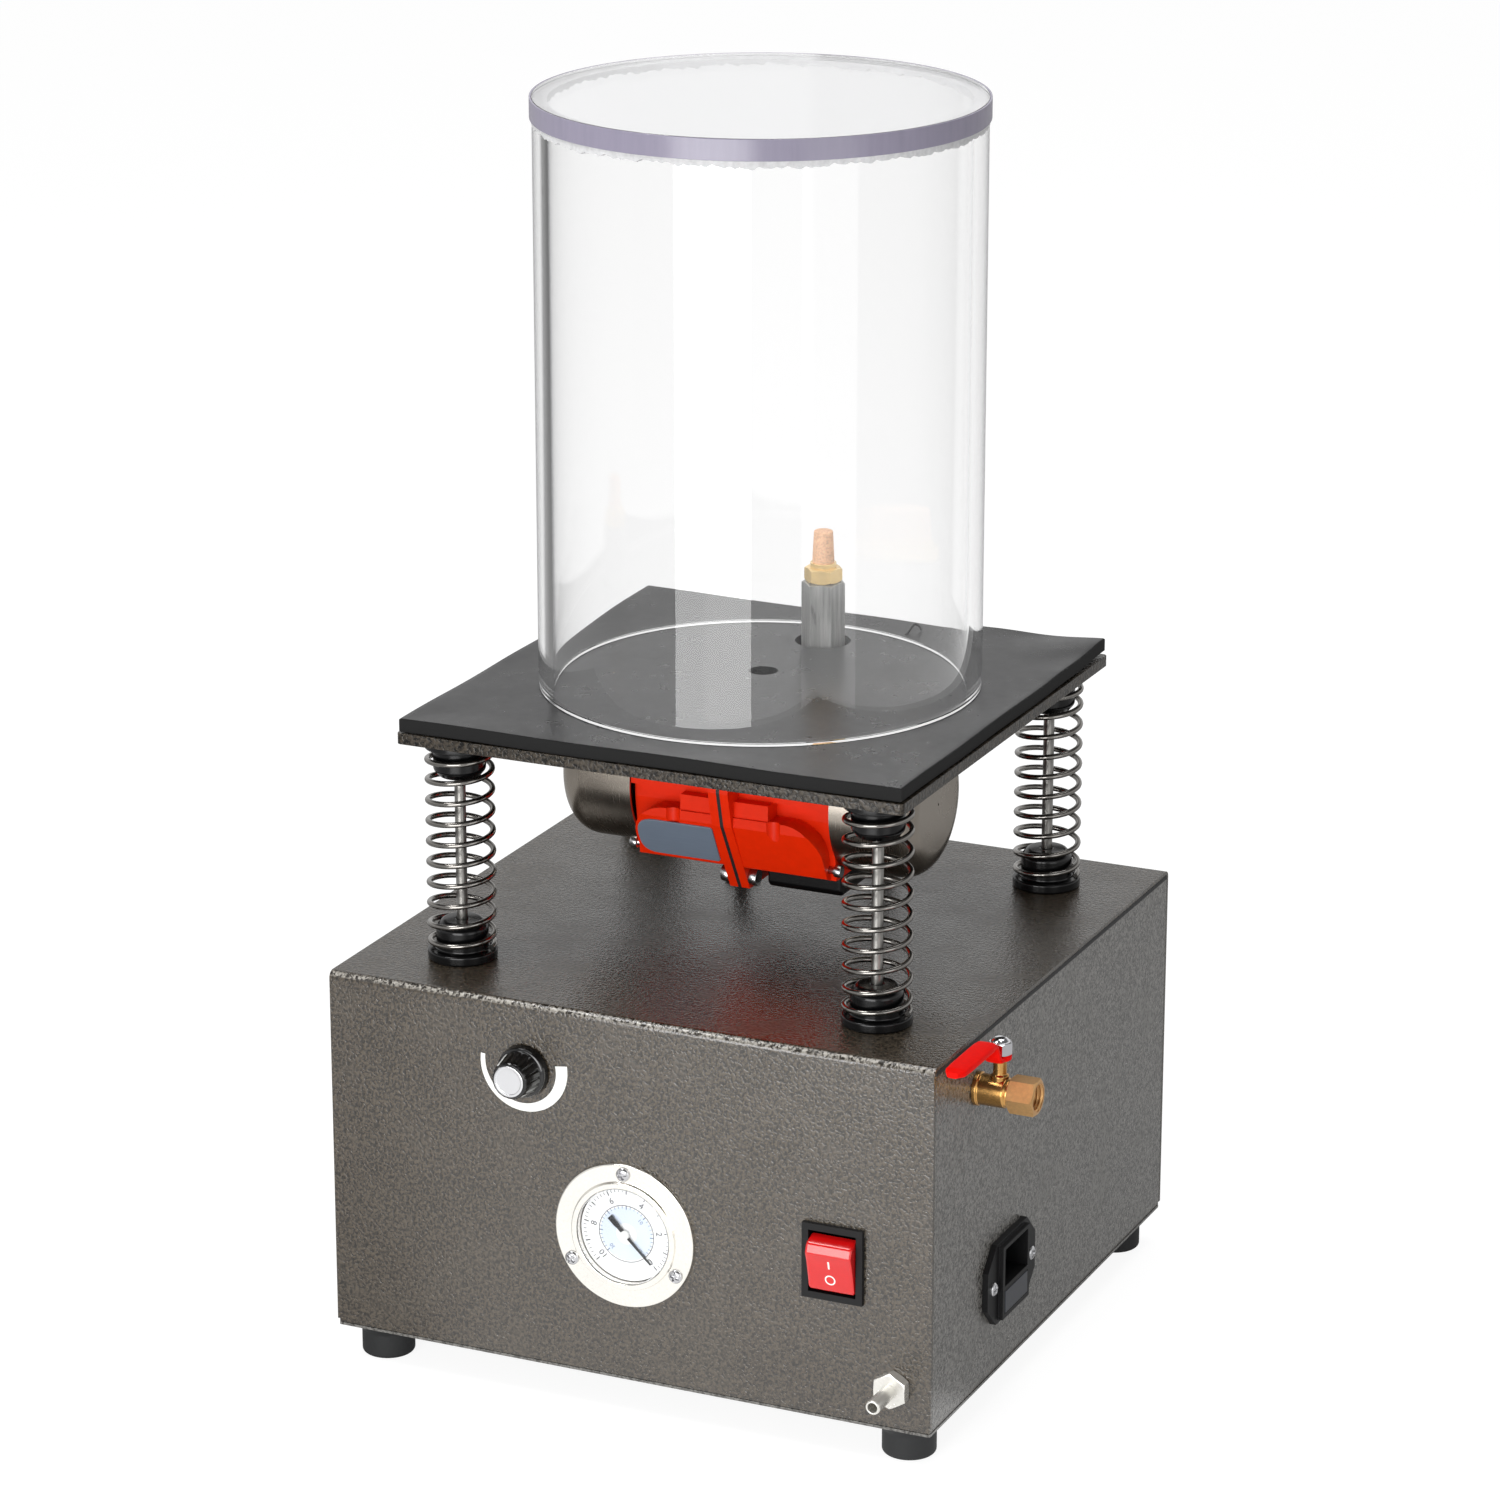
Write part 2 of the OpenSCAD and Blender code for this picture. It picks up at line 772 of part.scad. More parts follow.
module top_holes() {
    at_springs() translate([0, 0, cabinet_top]) hole(cup_stub_d + 2 * fit_gap, 2 * sheet_t);
    translate(concat(hose_exit, cabinet_top)) hole(hose_d + 2 * grommet_flange, 2 * sheet_t);
    translate(concat(cable_exit, cabinet_top)) hole(cable_d + 2 * grommet_flange, 2 * sheet_t);
}

module cabinet_wrap() {
    color(hammertone) difference() {
        union() {
            along_width(cabinet_w) difference() {
                wrap_outline(0, 0);
                wrap_outline(sheet_t, over);
            }
            for (s = [-1, 1]) {
                translate([0, s * (cabinet_d / 2 - sheet_t / 2 - return_w / 2), 0])
                    slab([cabinet_w - 2 * panel_inset, return_w + sheet_t, sheet_t], base_top);
            }
        }
        front_holes();
        top_holes();
        at_base_screws() hole(base_screw_d + 2 * fit_gap, 4 * sheet_t);
    }
}

module side_panel(x) {
    translate([x, 0, 0]) along_width(sheet_t) wrap_outline(panel_inset, 0);
}

module side_panel_left() {
    color(hammertone) side_panel((sheet_t - cabinet_w) / 2);
}

module side_panel_right() {
    color(hammertone) difference() {
        side_panel((cabinet_w - sheet_t) / 2);
        on_right(-valve_y, valve_z) hole(valve_thread_d + 2 * fit_gap, 2 * sheet_t);
        on_right(-inlet_y, inlet_z) {
            cube([inlet_body_w + 2 * fit_gap, inlet_body_h + 2 * fit_gap, 4 * sheet_t], center = true);
        }
        at_inlet_screws() hole(panel_screw_d + 2 * fit_gap, 2 * sheet_t);
    }
}

module base_plate() {
    color(hammertone) difference() {
        slab([cabinet_w - 2 * base_lip, cabinet_d - 2 * base_lip, sheet_t], cabinet_z);
        at_feet() translate([0, 0, cabinet_z]) hole(foot_screw_d + 2 * fit_gap, 2 * sheet_t);
        at_base_screws() hole(base_screw_d + 2 * fit_gap, 2 * sheet_t);
    }
}

module rubber_feet() {
    color(black_rubber) at_feet() rotate_extrude() polygon([
        [foot_recess_d / 2, 0],
        [foot_d / 2 - foot_edge, 0],
        [foot_d / 2, foot_edge],
        [foot_d / 2, foot_h - foot_taper_h - foot_edge],
        [foot_flare_d / 2, foot_h - foot_edge],
        [foot_flare_d / 2, foot_h],
        [foot_screw_d / 2 + fit_gap, foot_h],
        [foot_screw_d / 2 + fit_gap, foot_recess_h],
        [foot_recess_d / 2, foot_recess_h]
    ]);
}

module foot_screw() {
    translate([0, 0, foot_recess_h - foot_head_h]) cylinder(d = foot_recess_d - 2, h = foot_head_h);
    translate([0, 0, foot_recess_h])
        cylinder(d = foot_screw_d, h = base_top + foot_nut_h + over - foot_recess_h);
}

module cabinet_fasteners() {
    color(bright_steel) {
        at_gauge_screws() translate([0, 0, gauge_flange_t])
            screw(panel_screw_d, panel_screw_l + gauge_flange_t, panel_screw_head_d, panel_screw_head_h);
        at_inlet_screws() translate([0, 0, inlet_flange_t])
            screw(panel_screw_d, panel_screw_l + inlet_flange_t, panel_screw_head_d, panel_screw_head_h);
        at_feet() foot_screw();
        at_feet() translate([0, 0, base_top])
            hex_nut(foot_nut_af, foot_screw_d + 2 * running_gap, foot_nut_h);
        at_base_screws() mirror([0, 0, 1])
            screw(base_screw_d, 2 * sheet_t + over, base_screw_head_d, base_screw_head_h);
        on_front(barb_x, barb_z) translate([0, 0, -sheet_t - lock_nut_h])
            hex_nut(barb_nut_af, barb_thread_d + 2 * running_gap, lock_nut_h);
        on_right(-valve_y, valve_z) translate([0, 0, -sheet_t - lock_nut_h])
            hex_nut(valve_nut_af, valve_thread_d + 2 * running_gap, lock_nut_h);
        on_front(-knob_x, knob_z) hex_nut(pot_nut_af, pot_bush_d + 2 * running_gap, pot_nut_h);
    }
}

// Springs and their guides
module cup_profile(bore_d) {
    polygon([
        [bore_d / 2, 0],
        [cup_d / 2, 0],
        [cup_d / 2, cup_flange_h],
        [cup_spigot_d / 2, cup_flange_h],
        [cup_spigot_d / 2, cup_flange_h + cup_spigot_h - cup_cone_h],
        [cup_cone_d / 2, cup_flange_h + cup_spigot_h],
        [bore_d / 2, cup_flange_h + cup_spigot_h]
    ]);
}

module lower_spring_cups() {
    color(black_plastic) at_springs() translate([0, 0, cabinet_top]) {
        rotate_extrude() cup_profile(rod_d + 2 * running_gap);
        translate([0, 0, -cup_stub_l]) pipe(cup_stub_d, rod_d + 2 * running_gap, cup_stub_l);
    }
}

module upper_spring_cups() {
    color(black_plastic) at_springs() translate([0, 0, plate_z]) mirror([0, 0, 1])
        rotate_extrude() cup_profile(rod_d + 2 * running_gap);
}

module guide_rods() {
    color(dark_steel) at_springs() {
        translate([0, 0, stop_nut_z - rod_tail]) cylinder(d = rod_d, h = plate_top - stop_nut_z + rod_tail);
        translate([0, 0, plate_top - rod_head_h]) cylinder(d1 = rod_d, d2 = rod_head_d, h = rod_head_h);
    }
    color(dark_steel) at_springs() translate([0, 0, stop_nut_z])
        hex_nut(stop_nut_af, rod_d + 2 * running_gap, stop_nut_h);
}

module spring_front_left() {
    spring(-1, -1);
}

module spring_front_right() {
    spring(1, -1);
}

module spring_back_left() {
    spring(-1, 1);
}

module spring_back_right() {
    spring(1, 1);
}

// Platform
module rounded_square(side, r) {
    square([side - 2 * r, side], center = true);
    square([side, side - 2 * r], center = true);
    for (sx = [-1, 1], sy = [-1, 1]) translate([sx, sy] * (side / 2 - r)) circle(r);
}

module at_mount_bolts() {
    for (sx = [-1, 1], sy = [-1, 1]) translate([sx * mount_bolt_x, sy * mount_bolt_y, motor_z]) children();
}

module platform_plate() {
    color(hammertone) difference() {
        translate([0, 0, plate_z]) linear_extrude(plate_t) rounded_square(plate_size, plate_corner_r);
        at_springs() translate([0, 0, plate_z]) hole(rod_d + 2 * fit_gap, 2 * plate_t);
        at_springs() translate([0, 0, plate_top - rod_head_h])
            cylinder(d1 = rod_d + 2 * fit_gap, d2 = rod_head_d + 2 * fit_gap, h = rod_head_h + seat_gap / 10);
        translate([0, port_y, plate_z]) hole(port_thread_d + 2 * fit_gap, 2 * plate_t);
        at_mount_bolts() hole(mount_bolt_d + 2 * running_gap, 2 * motor_drop);
    }
}

module rubber_mat() {
    color(black_rubber) difference() {
        translate([0, 0, plate_top]) linear_extrude(mat_t) rounded_square(mat_size, plate_corner_r);
        translate(concat(mat_hole_at, plate_top)) hole(mat_hole_d, 2 * mat_t);
        translate([0, port_y, plate_top]) hole(port_hole_d, 2 * mat_t);
    }
}

// Vacuum port
module standpipe() {
    color(dark_steel) translate([0, port_y, plate_top]) difference() {
        union() {
            hexagon(standpipe_af, standpipe_h);
            translate([0, 0, -port_thread_l]) cylinder(d = port_thread_d, h = port_thread_l);
        }
        hole(standpipe_bore_d, 2 * standpipe_h);
        translate([0, 0, standpipe_h - thread_depth])
            cylinder(d = port_thread_d + 2 * running_gap, h = 2 * thread_depth);
    }
}

module filter_fitting() {
    color(brass) translate([0, port_y, plate_top + standpipe_h]) difference() {
        union() {
            translate([0, 0, 0.5 - thread_depth]) cylinder(d = port_thread_d, h = thread_depth);
            hexagon(fitting_af, fitting_h - fitting_collar_h);
            cylinder(d = fitting_collar_d, h = fitting_h);
        }
        hole(filter_d / 2, 2 * fitting_h);
    }
}

module sintered_filter() {
    color(bronze) translate([0, port_y, plate_top + standpipe_h + fitting_h]) difference() {
        union() {
            cylinder(d1 = filter_d, d2 = filter_tip_d, h = filter_h - filter_tip_h);
            translate([0, 0, filter_h - filter_tip_h])
                cylinder(d1 = filter_tip_d, d2 = filter_tip_d - 2 * filter_tip_h, h = filter_tip_h);
        }
        hole(filter_d / 2, filter_h - 4 * filter_tip_h);
    }
}

module port_nipple() {
    color(brass) translate([0, port_y, plate_z - nipple_hex_h]) difference() {
        union() {
            hexagon(nipple_hex_af, nipple_hex_h);
            translate([0, 0, -nipple_l]) cylinder(d = nipple_d, h = nipple_l + over);
        }
        translate([0, 0, over]) cylinder(d = port_thread_d + 2 * running_gap, h = 2 * nipple_hex_h);
        hole(barb_bore_d, 2 * nipple_l);
    }
}

// Vibration motor, drawn about its own axis
module both_sides() {
    children();
    mirror([1, 0]) children();
}

module cast_outline() {
    both_sides() polygon([
        [0, motor_drop],
        [-foot_y, motor_drop],
        [-foot_y, motor_drop - motor_foot_t],
        [-wall_y, motor_drop - motor_foot_t],
        [-wall_y, pocket_top],
        [-pocket_y, pocket_top],
        [-pocket_y, pad_top],
        [-bottom_y, bottom_z],
        [0, bottom_z]
    ]);
}

module pad_outline() {
    both_sides() polygon([
        [-bottom_y, pad_top],
        [-pad_y, pad_top],
        [-pad_y, pad_knee],
        [-pad_foot_y, pad_foot_z],
        [-bottom_y, bottom_z]
    ]);
}

module split_outline() {
    both_sides() polygon([
        [0, motor_drop],
        [-split_top_y, motor_drop],
        [-split_top_y, split_top_z],
        [-split_knee_y, split_knee_z],
        [-split_foot_y, split_foot_z],
        [0, split_foot_z]
    ]);
}

module pad_front() {
    h = pad_top - bottom_z;
    translate([0, bottom_z]) {
        square([pad_end - pad_round, h]);
        square([pad_end, h - pad_round]);
        translate([pad_end - pad_round, h - pad_round]) circle(pad_round);
    }
}

module at_split_bolts() {
    for (s = [-1, 1]) translate([0, s * split_bolt_y, split_bolt_z]) children();
}

module at_end_bolts() {
    for (s = [-1, 1]) translate([body_half, s * end_bolt_y, end_bolt_z]) children();
}

module motor_half() {
    inner = gasket_t / 2;
    difference() {
        union() {
            along_x(inner, body_half - inner) cast_outline();
            along_x(inner, split_flange_t) split_outline();
            intersection() {
                along_x(inner, pad_end - inner) pad_outline();
                rotate([90, 0, 0]) linear_extrude(4 * pad_y, center = true) pad_front();
            }
            for (s = [-1, 1]) translate([boss_l / 2 + inner, s * (boss_y + bottom_y) / 2, 0])
                slab([boss_l, boss_y - bottom_y, pocket_top - pad_top], pad_top);
        }
        rod_x(stator_d + 2 * fit_gap, -over, stator_l / 2 + 2 * over);
        rod_x(shaft_room_d, 0, motor_body_l);
        rod_x(bearing_d + 2 * running_gap, bearing_x, body_half);
        at_split_bolts() rotate([0, 90, 0]) hole(split_bolt_d + 2 * fit_gap, 2 * split_flange_t);
        at_end_bolts() rotate([0, 90, 0]) hole(end_bolt_d + 2 * running_gap, end_bolt_l);
        translate([0, 0, -motor_z]) at_mount_bolts() hole(mount_bolt_d + 2 * fit_gap, 2 * motor_drop);
    }
}

module motor_half_left() {
    color(motor_red) translate([0, 0, motor_z]) mirror([1, 0, 0]) motor_half();
}

module motor_half_right() {
    color(motor_red) translate([0, 0, motor_z]) motor_half();
}

module motor_gasket() {
    color(black_rubber) translate([0, 0, motor_z]) difference() {
        along_width(gasket_t) split_outline();
        rod_x(stator_d + 2 * fit_gap, -gasket_t, 2 * gasket_t);
        at_split_bolts() rotate([0, 90, 0]) hole(split_bolt_d + 2 * fit_gap, 2 * gasket_t);
    }
}

module cover_outline(inset) {
    r = cover_d / 2 - inset;
    h = cover_l - inset;
    round_r = cover_round - inset;
    square([r, h - round_r]);
    square([r - round_r, h]);
    translate([r - round_r, h - round_r]) circle(round_r);
}

module motor_end_covers() {
    color(bright_steel) for (s = [0, 1]) mirror([s, 0, 0]) translate([body_half, 0, motor_z]) rotate([0, 90, 0])
        difference() {
            rotate_extrude() intersection() {
                cover_outline(0);
                square([cover_d, cover_l]);
            }
            translate([0, 0, -over]) cylinder(d = cover_d - 2 * cover_wall, h = over + cover_l - cover_round);
            translate([0, 0, cover_l - cover_round - over]) rotate_extrude() intersection() {
                translate([0, over + cover_round - cover_l]) cover_outline(cover_wall);
                square([cover_d, cover_l]);
            }
        }
}

module motor_bolts() {
    grip = gasket_t / 2 + split_flange_t;
    color(bright_steel) {
        translate([0, 0, motor_z]) at_split_bolts() {
            rod_x(split_bolt_d, -grip, 2 * grip);
            rod_x(split_bolt_head_d, grip, split_bolt_head_h);
            rod_x(split_bolt_head_d, -grip - split_bolt_head_h, split_bolt_head_h);
        }
        for (s = [0, 1]) translate([0, 0, motor_z]) mirror([s, 0, 0]) at_end_bolts() {
            rod_x(end_bolt_d, over - end_bolt_l, end_bolt_l - over);
            rod_x(end_bolt_head_d, 0, end_bolt_d);
        }
        at_mount_bolts() {
            translate([0, 0, motor_drop - motor_foot_t - mount_bolt_head_h])
                hexagon(mount_bolt_af, mount_bolt_head_h);
            translate([0, 0, motor_drop - motor_foot_t])
                cylinder(d = mount_bolt_d, h = motor_foot_t + plate_t - over);
        }
    }
}

module motor_stator() {
    color(copper) translate([-stator_l / 2, 0, motor_z]) rotate([0, 90, 0])
        pipe(stator_d, stator_bore_d, stator_l);
}

module motor_bearings() {
    color(bright_steel) for (s = [0, 1]) mirror([s, 0, 0]) translate([bearing_x, 0, motor_z]) rotate([0, 90, 0])
        pipe(bearing_d, motor_shaft_d + 2 * running_gap, bearing_w);
}

module terminal_box() {
    color(black_plastic) translate([0, 0, motor_z]) along_x(box_x[0], box_x[1] - box_x[0]) polygon([
        [-box_half_d, bottom_z],
        [-box_half_d, bottom_z - box_h + box_edge],
        [box_edge - box_half_d, bottom_z - box_h],
        [box_half_d - box_edge, bottom_z - box_h],
        [box_half_d, bottom_z - box_h + box_edge],
        [box_half_d, bottom_z]
    ]);
}

module rotor_shaft() {
    color(dark_steel) translate([0, 0, motor_z]) {
        rod_x(motor_shaft_d, -shaft_half, 2 * shaft_half);
        rod_x(stator_bore_d - 2 * air_gap, over - stator_l / 2, stator_l - 2 * over);
    }
}

module eccentric_weights() {
    color(cast_aluminium) for (s = [0, 1]) mirror([s, 0, 0]) translate([0, 0, motor_z]) difference() {
        rod_x(2 * weight_r, weight_x, weight_t);
        translate([weight_x - over, -2 * weight_r, motor_shaft_d])
            cube([weight_t + 2 * over, 4 * weight_r, 2 * weight_r]);
        rod_x(motor_shaft_d + 2 * running_gap, weight_x - over, weight_t + 2 * over);
    }
}

// Chamber
module chamber_tube() {
    color(clear_acrylic) translate([0, 0, tube_z]) pipe(tube_od, tube_od - 2 * tube_wall, tube_h);
}

module chamber_lid() {
    color(clear_acrylic) translate([0, 0, lid_z]) cylinder(d = lid_d, h = lid_t);
}

// Vacuum gauge
module gauge_case() {
    color(white_paint) difference() {
        on_front(0, gauge_z) {
            cylinder(d = gauge_flange_d, h = gauge_flange_t);
            cylinder(d = gauge_case_d + 2 * gauge_rim, h = gauge_flange_t + gauge_rim_h);
            translate([0, 0, -gauge_depth]) cylinder(d = gauge_case_d, h = gauge_depth + over);
            translate([0, 0, -gauge_depth - gauge_stem_l]) cylinder(d = gauge_stem_d, h = gauge_stem_l + over);
        }
        on_front(0, gauge_z) {
            translate([0, 0, gauge_wall - gauge_depth]) cylinder(d = gauge_inside_d, h = 2 * gauge_depth);
            hole(gauge_port_d, 2 * gauge_depth);
        }
        at_gauge_screws() hole(panel_screw_d + 2 * fit_gap, 2 * gauge_flange_t);
    }
}

module gauge_dial() {
    color("white") on_front(0, gauge_z) translate([0, 0, -dial_depth - dial_t])
        pipe(gauge_inside_d - 2 * fit_gap, staff_d + 4 * fit_gap, dial_t);
}

module gauge_lens() {
    color(clear_acrylic) on_front(0, gauge_z) translate([0, 0, gauge_flange_t + gauge_rim_h - lens_t - fit_gap])
        cylinder(d = gauge_inside_d - fit_gap, h = lens_t);
}

module gauge_movement() {
    back = gauge_wall - gauge_depth;
    front = -dial_depth - dial_t;
    color(brass) on_front(0, gauge_z) difference() {
        union() {
            translate([0, 0, back]) cylinder(d = movement_d, h = front - back);
            translate([0, 0, (back + front) / 2]) {
                rotate_extrude(angle = bourdon_arc) translate([bourdon_r, 0]) circle(d = bourdon_d);
                rotate([0, 90, 0]) cylinder(d = bourdon_d, h = bourdon_r);
            }
        }
        translate([0, 0, front - staff_l]) cylinder(d = staff_d + 2 * running_gap, h = 2 * staff_l);
    }
}

module gauge_needle() {
    color(black_plastic) on_front(0, gauge_z) translate([0, 0, needle_lift - dial_depth]) rotate(needle_rest) {
        linear_extrude(needle_t) polygon([
            [needle_tip, -needle_t / 4],
            [needle_tip, needle_t / 4],
            [0, needle_t],
            [-needle_tail, 2 * needle_t],
            [-needle_tail, -2 * needle_t],
            [0, -needle_t]
        ]);
        cylinder(d = needle_hub_d, h = 2 * needle_t);
        translate([0, 0, -staff_l]) cylinder(d = staff_d, h = staff_l + needle_t);
    }
}

// Rocker switch
module switch_frame() {
    color(black_plastic) on_front(switch_x, switch_z) {
        difference() {
            union() {
                slab([switch_w, switch_h, switch_frame_t], 0);
                slab([switch_body_w, switch_body_h, switch_depth + over], -switch_depth);
            }
            translate([0, 0, rocker_pivot - switch_depth / 2])
                slab([switch_body_w - 2 * switch_wall, switch_body_h - 2 * switch_wall, switch_depth], 0);
            translate([0, 0, rocker_pivot]) rotate([0, 90, 0]) hole(rocker_pin_d + 2 * running_gap, switch_w);
        }
        for (sx = [-1, 1], sy = [-1, 0, 1])
            translate([sx * switch_body_w / 4, sy * switch_body_h / 3, -switch_depth - lug_l])
                slab([lug_t, lug_w, lug_l + over], 0);
    }
}

module rocker() {
    w = switch_body_w - 2 * switch_wall - 2 * rocker_side_gap;
    half = switch_body_h / 2 - switch_wall - rocker_end_room;
    color(signal_red) on_front(switch_x, switch_z) translate([0, 0, rocker_pivot]) rotate([rocker_tilt, 0, 0]) {
        rotate([90, 0, 90]) linear_extrude(w, center = true) polygon([
            [-half, rocker_skirt - rocker_pivot],
            [rocker_bevel - half, rocker_crown - rocker_pivot],
            [-half / 4, rocker_crown - rocker_pivot - rocker_dip],
            [half / 4, rocker_crown - rocker_pivot - rocker_dip],
            [half - rocker_bevel, rocker_crown - rocker_pivot],
            [half, rocker_skirt - rocker_pivot],
            [half - over, -over],
            [rocker_keel_w, -rocker_keel],
            [-rocker_keel_w, -rocker_keel],
            [over - half, -over]
        ]);
        rod_x(rocker_pin_d, -switch_body_w / 2, switch_body_w);
    }
}

// Speed knob
module potentiometer() {
    color(dark_steel) on_front(-knob_x, knob_z) difference() {
        union() {
            translate([0, 0, -sheet_t - pot_l]) cylinder(d = pot_d, h = pot_l);
            translate([0, 0, -sheet_t - over]) cylinder(d = pot_bush_d, h = sheet_t + over + pot_bush_l);
            for (s = [-1, 0, 1]) translate([s * lug_w, -pot_d / 2, -sheet_t - pot_l / 2])
                cube([lug_w / 2, lug_l, lug_t], center = true);
        }
        translate([0, 0, pot_bush_l - pot_bore_l])
            cylinder(d = knob_shaft_d + 2 * running_gap, h = 2 * pot_bore_l);
    }
}

module knob_shaft() {
    bottom = pot_bush_l - pot_bore_l + fit_gap;
    color(bright_steel) on_front(-knob_x, knob_z) translate([0, 0, bottom])
        cylinder(d = knob_shaft_d, h = knob_lift + knob_h - knob_cap_t - over - bottom);
}

module knob_body() {
    grip_h = knob_h - knob_skirt_h;
    color(black_plastic) on_front(-knob_x, knob_z) translate([0, 0, knob_lift]) difference() {
        union() {
            cylinder(d1 = knob_d, d2 = knob_d - knob_skirt_h / 2, h = knob_skirt_h);
            translate([0, 0, knob_skirt_h]) cylinder(d1 = knob_waist_d, d2 = knob_crown_d, h = grip_h);
        }
        for (a = [0:360 / flute_count:359]) rotate(a)
            translate([knob_waist_d / 2 + flute_d / 6, 0, knob_skirt_h])
                rotate([0, -atan((knob_waist_d - knob_crown_d) / 2 / grip_h), 0])
                    cylinder(d = flute_d, h = 2 * grip_h, $fn = 16);
        hole(knob_room_d, knob_room_h);
        translate([0, 0, over]) cylinder(d = knob_shaft_d + running_gap, h = knob_h - knob_cap_t - 2 * over);
        translate([0, 0, knob_h + knob_cap_proud - knob_cap_t])
            cylinder(d = knob_cap_d + fit_gap, h = knob_cap_t);
    }
}

module knob_cap() {
    color(cast_aluminium) on_front(-knob_x, knob_z)
        translate([0, 0, knob_lift + knob_h + knob_cap_proud - knob_cap_t])
            cylinder(d = knob_cap_d, h = knob_cap_t);
}

// Hose barb
module hose_barb() {
    color(bright_steel) on_front(barb_x, barb_z) difference() {
        union() {
            hexagon(barb_hex_af, barb_hex_h);
            cylinder(d = barb_d, h = barb_hex_h + barb_l);
            translate([0, 0, -barb_inside_l]) cylinder(d = barb_thread_d, h = barb_inside_l + over);
        }
        hole(barb_bore_d, 2 * (barb_hex_h + barb_l));
    }
}

// Ball valve
module valve_body() {
    hex_z = valve_l - valve_hex_l;
    color(brass) difference() {
        union() {
            on_right(-valve_y, valve_z) {
                translate([0, 0, -valve_inside_l]) cylinder(d = valve_thread_d, h = valve_inside_l + over);
                cylinder(d = collar_d, h = collar_t);
                cylinder(d = valve_body_d, h = hex_z - valve_groove_l);
                cylinder(d = valve_groove_d, h = valve_l - over);
                translate([0, 0, hex_z]) hexagon(valve_hex_af, valve_hex_l);
            }
            at_stem() cylinder(d = bonnet_d, h = bonnet_h);
        }
        on_right(-valve_y, valve_z) {
            hole(valve_flow_d, 2 * valve_l);
            translate([0, 0, valve_l - valve_port_l]) cylinder(d = valve_port_d, h = 2 * valve_port_l);
        }
        at_stem() {
            sphere(d = ball_d + 2 * fit_gap);
            cylinder(d = stem_d + 2 * running_gap, h = 2 * bonnet_h);
        }
    }
}

module valve_ball() {
    color(bright_steel) at_stem() difference() {
        union() {
            sphere(d = ball_d);
            cylinder(d = stem_d, h = bonnet_h + seat_gap + lever_t + lever_nut_h);
        }
        rotate([90, 0, 0]) hole(valve_flow_d, ball_d);
    }
}

module valve_lever() {
    color(signal_red) at_stem() translate([0, 0, bonnet_h + seat_gap]) difference() {
        union() {
            cylinder(d = lever_eye_d, h = lever_t);
            along_width(lever_neck_w) polygon([
                [0, 0],
                [-lever_ramp_y[0], 0],
                [-lever_ramp_y[1], lever_rise],
                [over - lever_l, lever_rise],
                [over - lever_l, lever_rise + lever_t],
                [-lever_ramp_y[1] - over, lever_rise + lever_t],
                [-lever_ramp_y[0] - over, lever_t],
                [0, lever_t]
            ]);
            along_width(lever_w) translate([-lever_l, lever_rise - (grip_t - lever_t) / 2])
                square([lever_l - grip_start, grip_t]);
        }
        hole(stem_d + 2 * running_gap, 2 * lever_t);
    }
}

module lever_nut() {
    color(bright_steel) at_stem() translate([0, 0, bonnet_h + seat_gap + lever_t]) difference() {
        union() {
            hexagon(lever_nut_af, lever_nut_h);
            translate([0, 0, lever_nut_h]) cylinder(d1 = lever_nut_af, d2 = lever_nut_af / 2, h = lever_dome_h);
        }
        hole(stem_d + 2 * running_gap, lever_nut_h + seat_gap);
    }
}

// Mains inlet
module inlet_housing() {
    w = inlet_flange_w / 2;
    h = inlet_flange_h / 2;
    color(black_plastic) difference() {
        on_right(-inlet_y, inlet_z) {
            linear_extrude(inlet_flange_t) polygon([
                [-w, inlet_chamfer - h], [inlet_chamfer - w, -h],
                [w - inlet_chamfer, -h], [w, inlet_chamfer - h],
                [w, h - inlet_chamfer], [w - inlet_chamfer, h],
                [inlet_chamfer - w, h], [-w, h - inlet_chamfer]
            ]);
            slab([bezel_w, bezel_h, bezel_t], 0);
            slab([inlet_body_w, inlet_body_h, inlet_depth + over], -inlet_depth);
        }
        on_right(-inlet_y, inlet_z) {
            translate([0, socket_up, 0]) slab([socket_w, socket_h, 2 * socket_depth], -socket_depth);
            translate([0, -drawer_down, 0]) slab([drawer_w, drawer_h, 2 * drawer_depth], -drawer_depth);
            for (p = pin_places) translate([p[0], p[1], 0])
                cube([pin_w + 2 * running_gap, pin_h + 2 * running_gap, 4 * inlet_depth], center = true);
        }
        at_inlet_screws() hole(panel_screw_d + 2 * fit_gap, 2 * inlet_flange_t);
    }
}

module inlet_pins() {
    color(bright_steel) on_right(-inlet_y, inlet_z) for (p = pin_places) translate([p[0], p[1], 0])
        slab([pin_w, pin_h, pin_out - pin_in], pin_in);
}

module fuse_drawer() {
    color(dark_steel) on_right(-inlet_y, inlet_z) translate([0, -drawer_down, 0]) difference() {
        slab([drawer_w - 2 * fit_gap, drawer_h - 2 * fit_gap, drawer_depth + bezel_t], fit_gap - drawer_depth);
        translate([0, 0, bezel_t - drawer_face_t - fuse_l - drawer_depth])
            cylinder(d = fuse_d + 2 * running_gap, h = drawer_depth + fuse_l);
    }
}

module fuse() {
    color(white_paint) on_right(-inlet_y, inlet_z)
        translate([0, -drawer_down, bezel_t - drawer_face_t - fuse_l])
            cylinder(d = fuse_d, h = fuse_l);
}

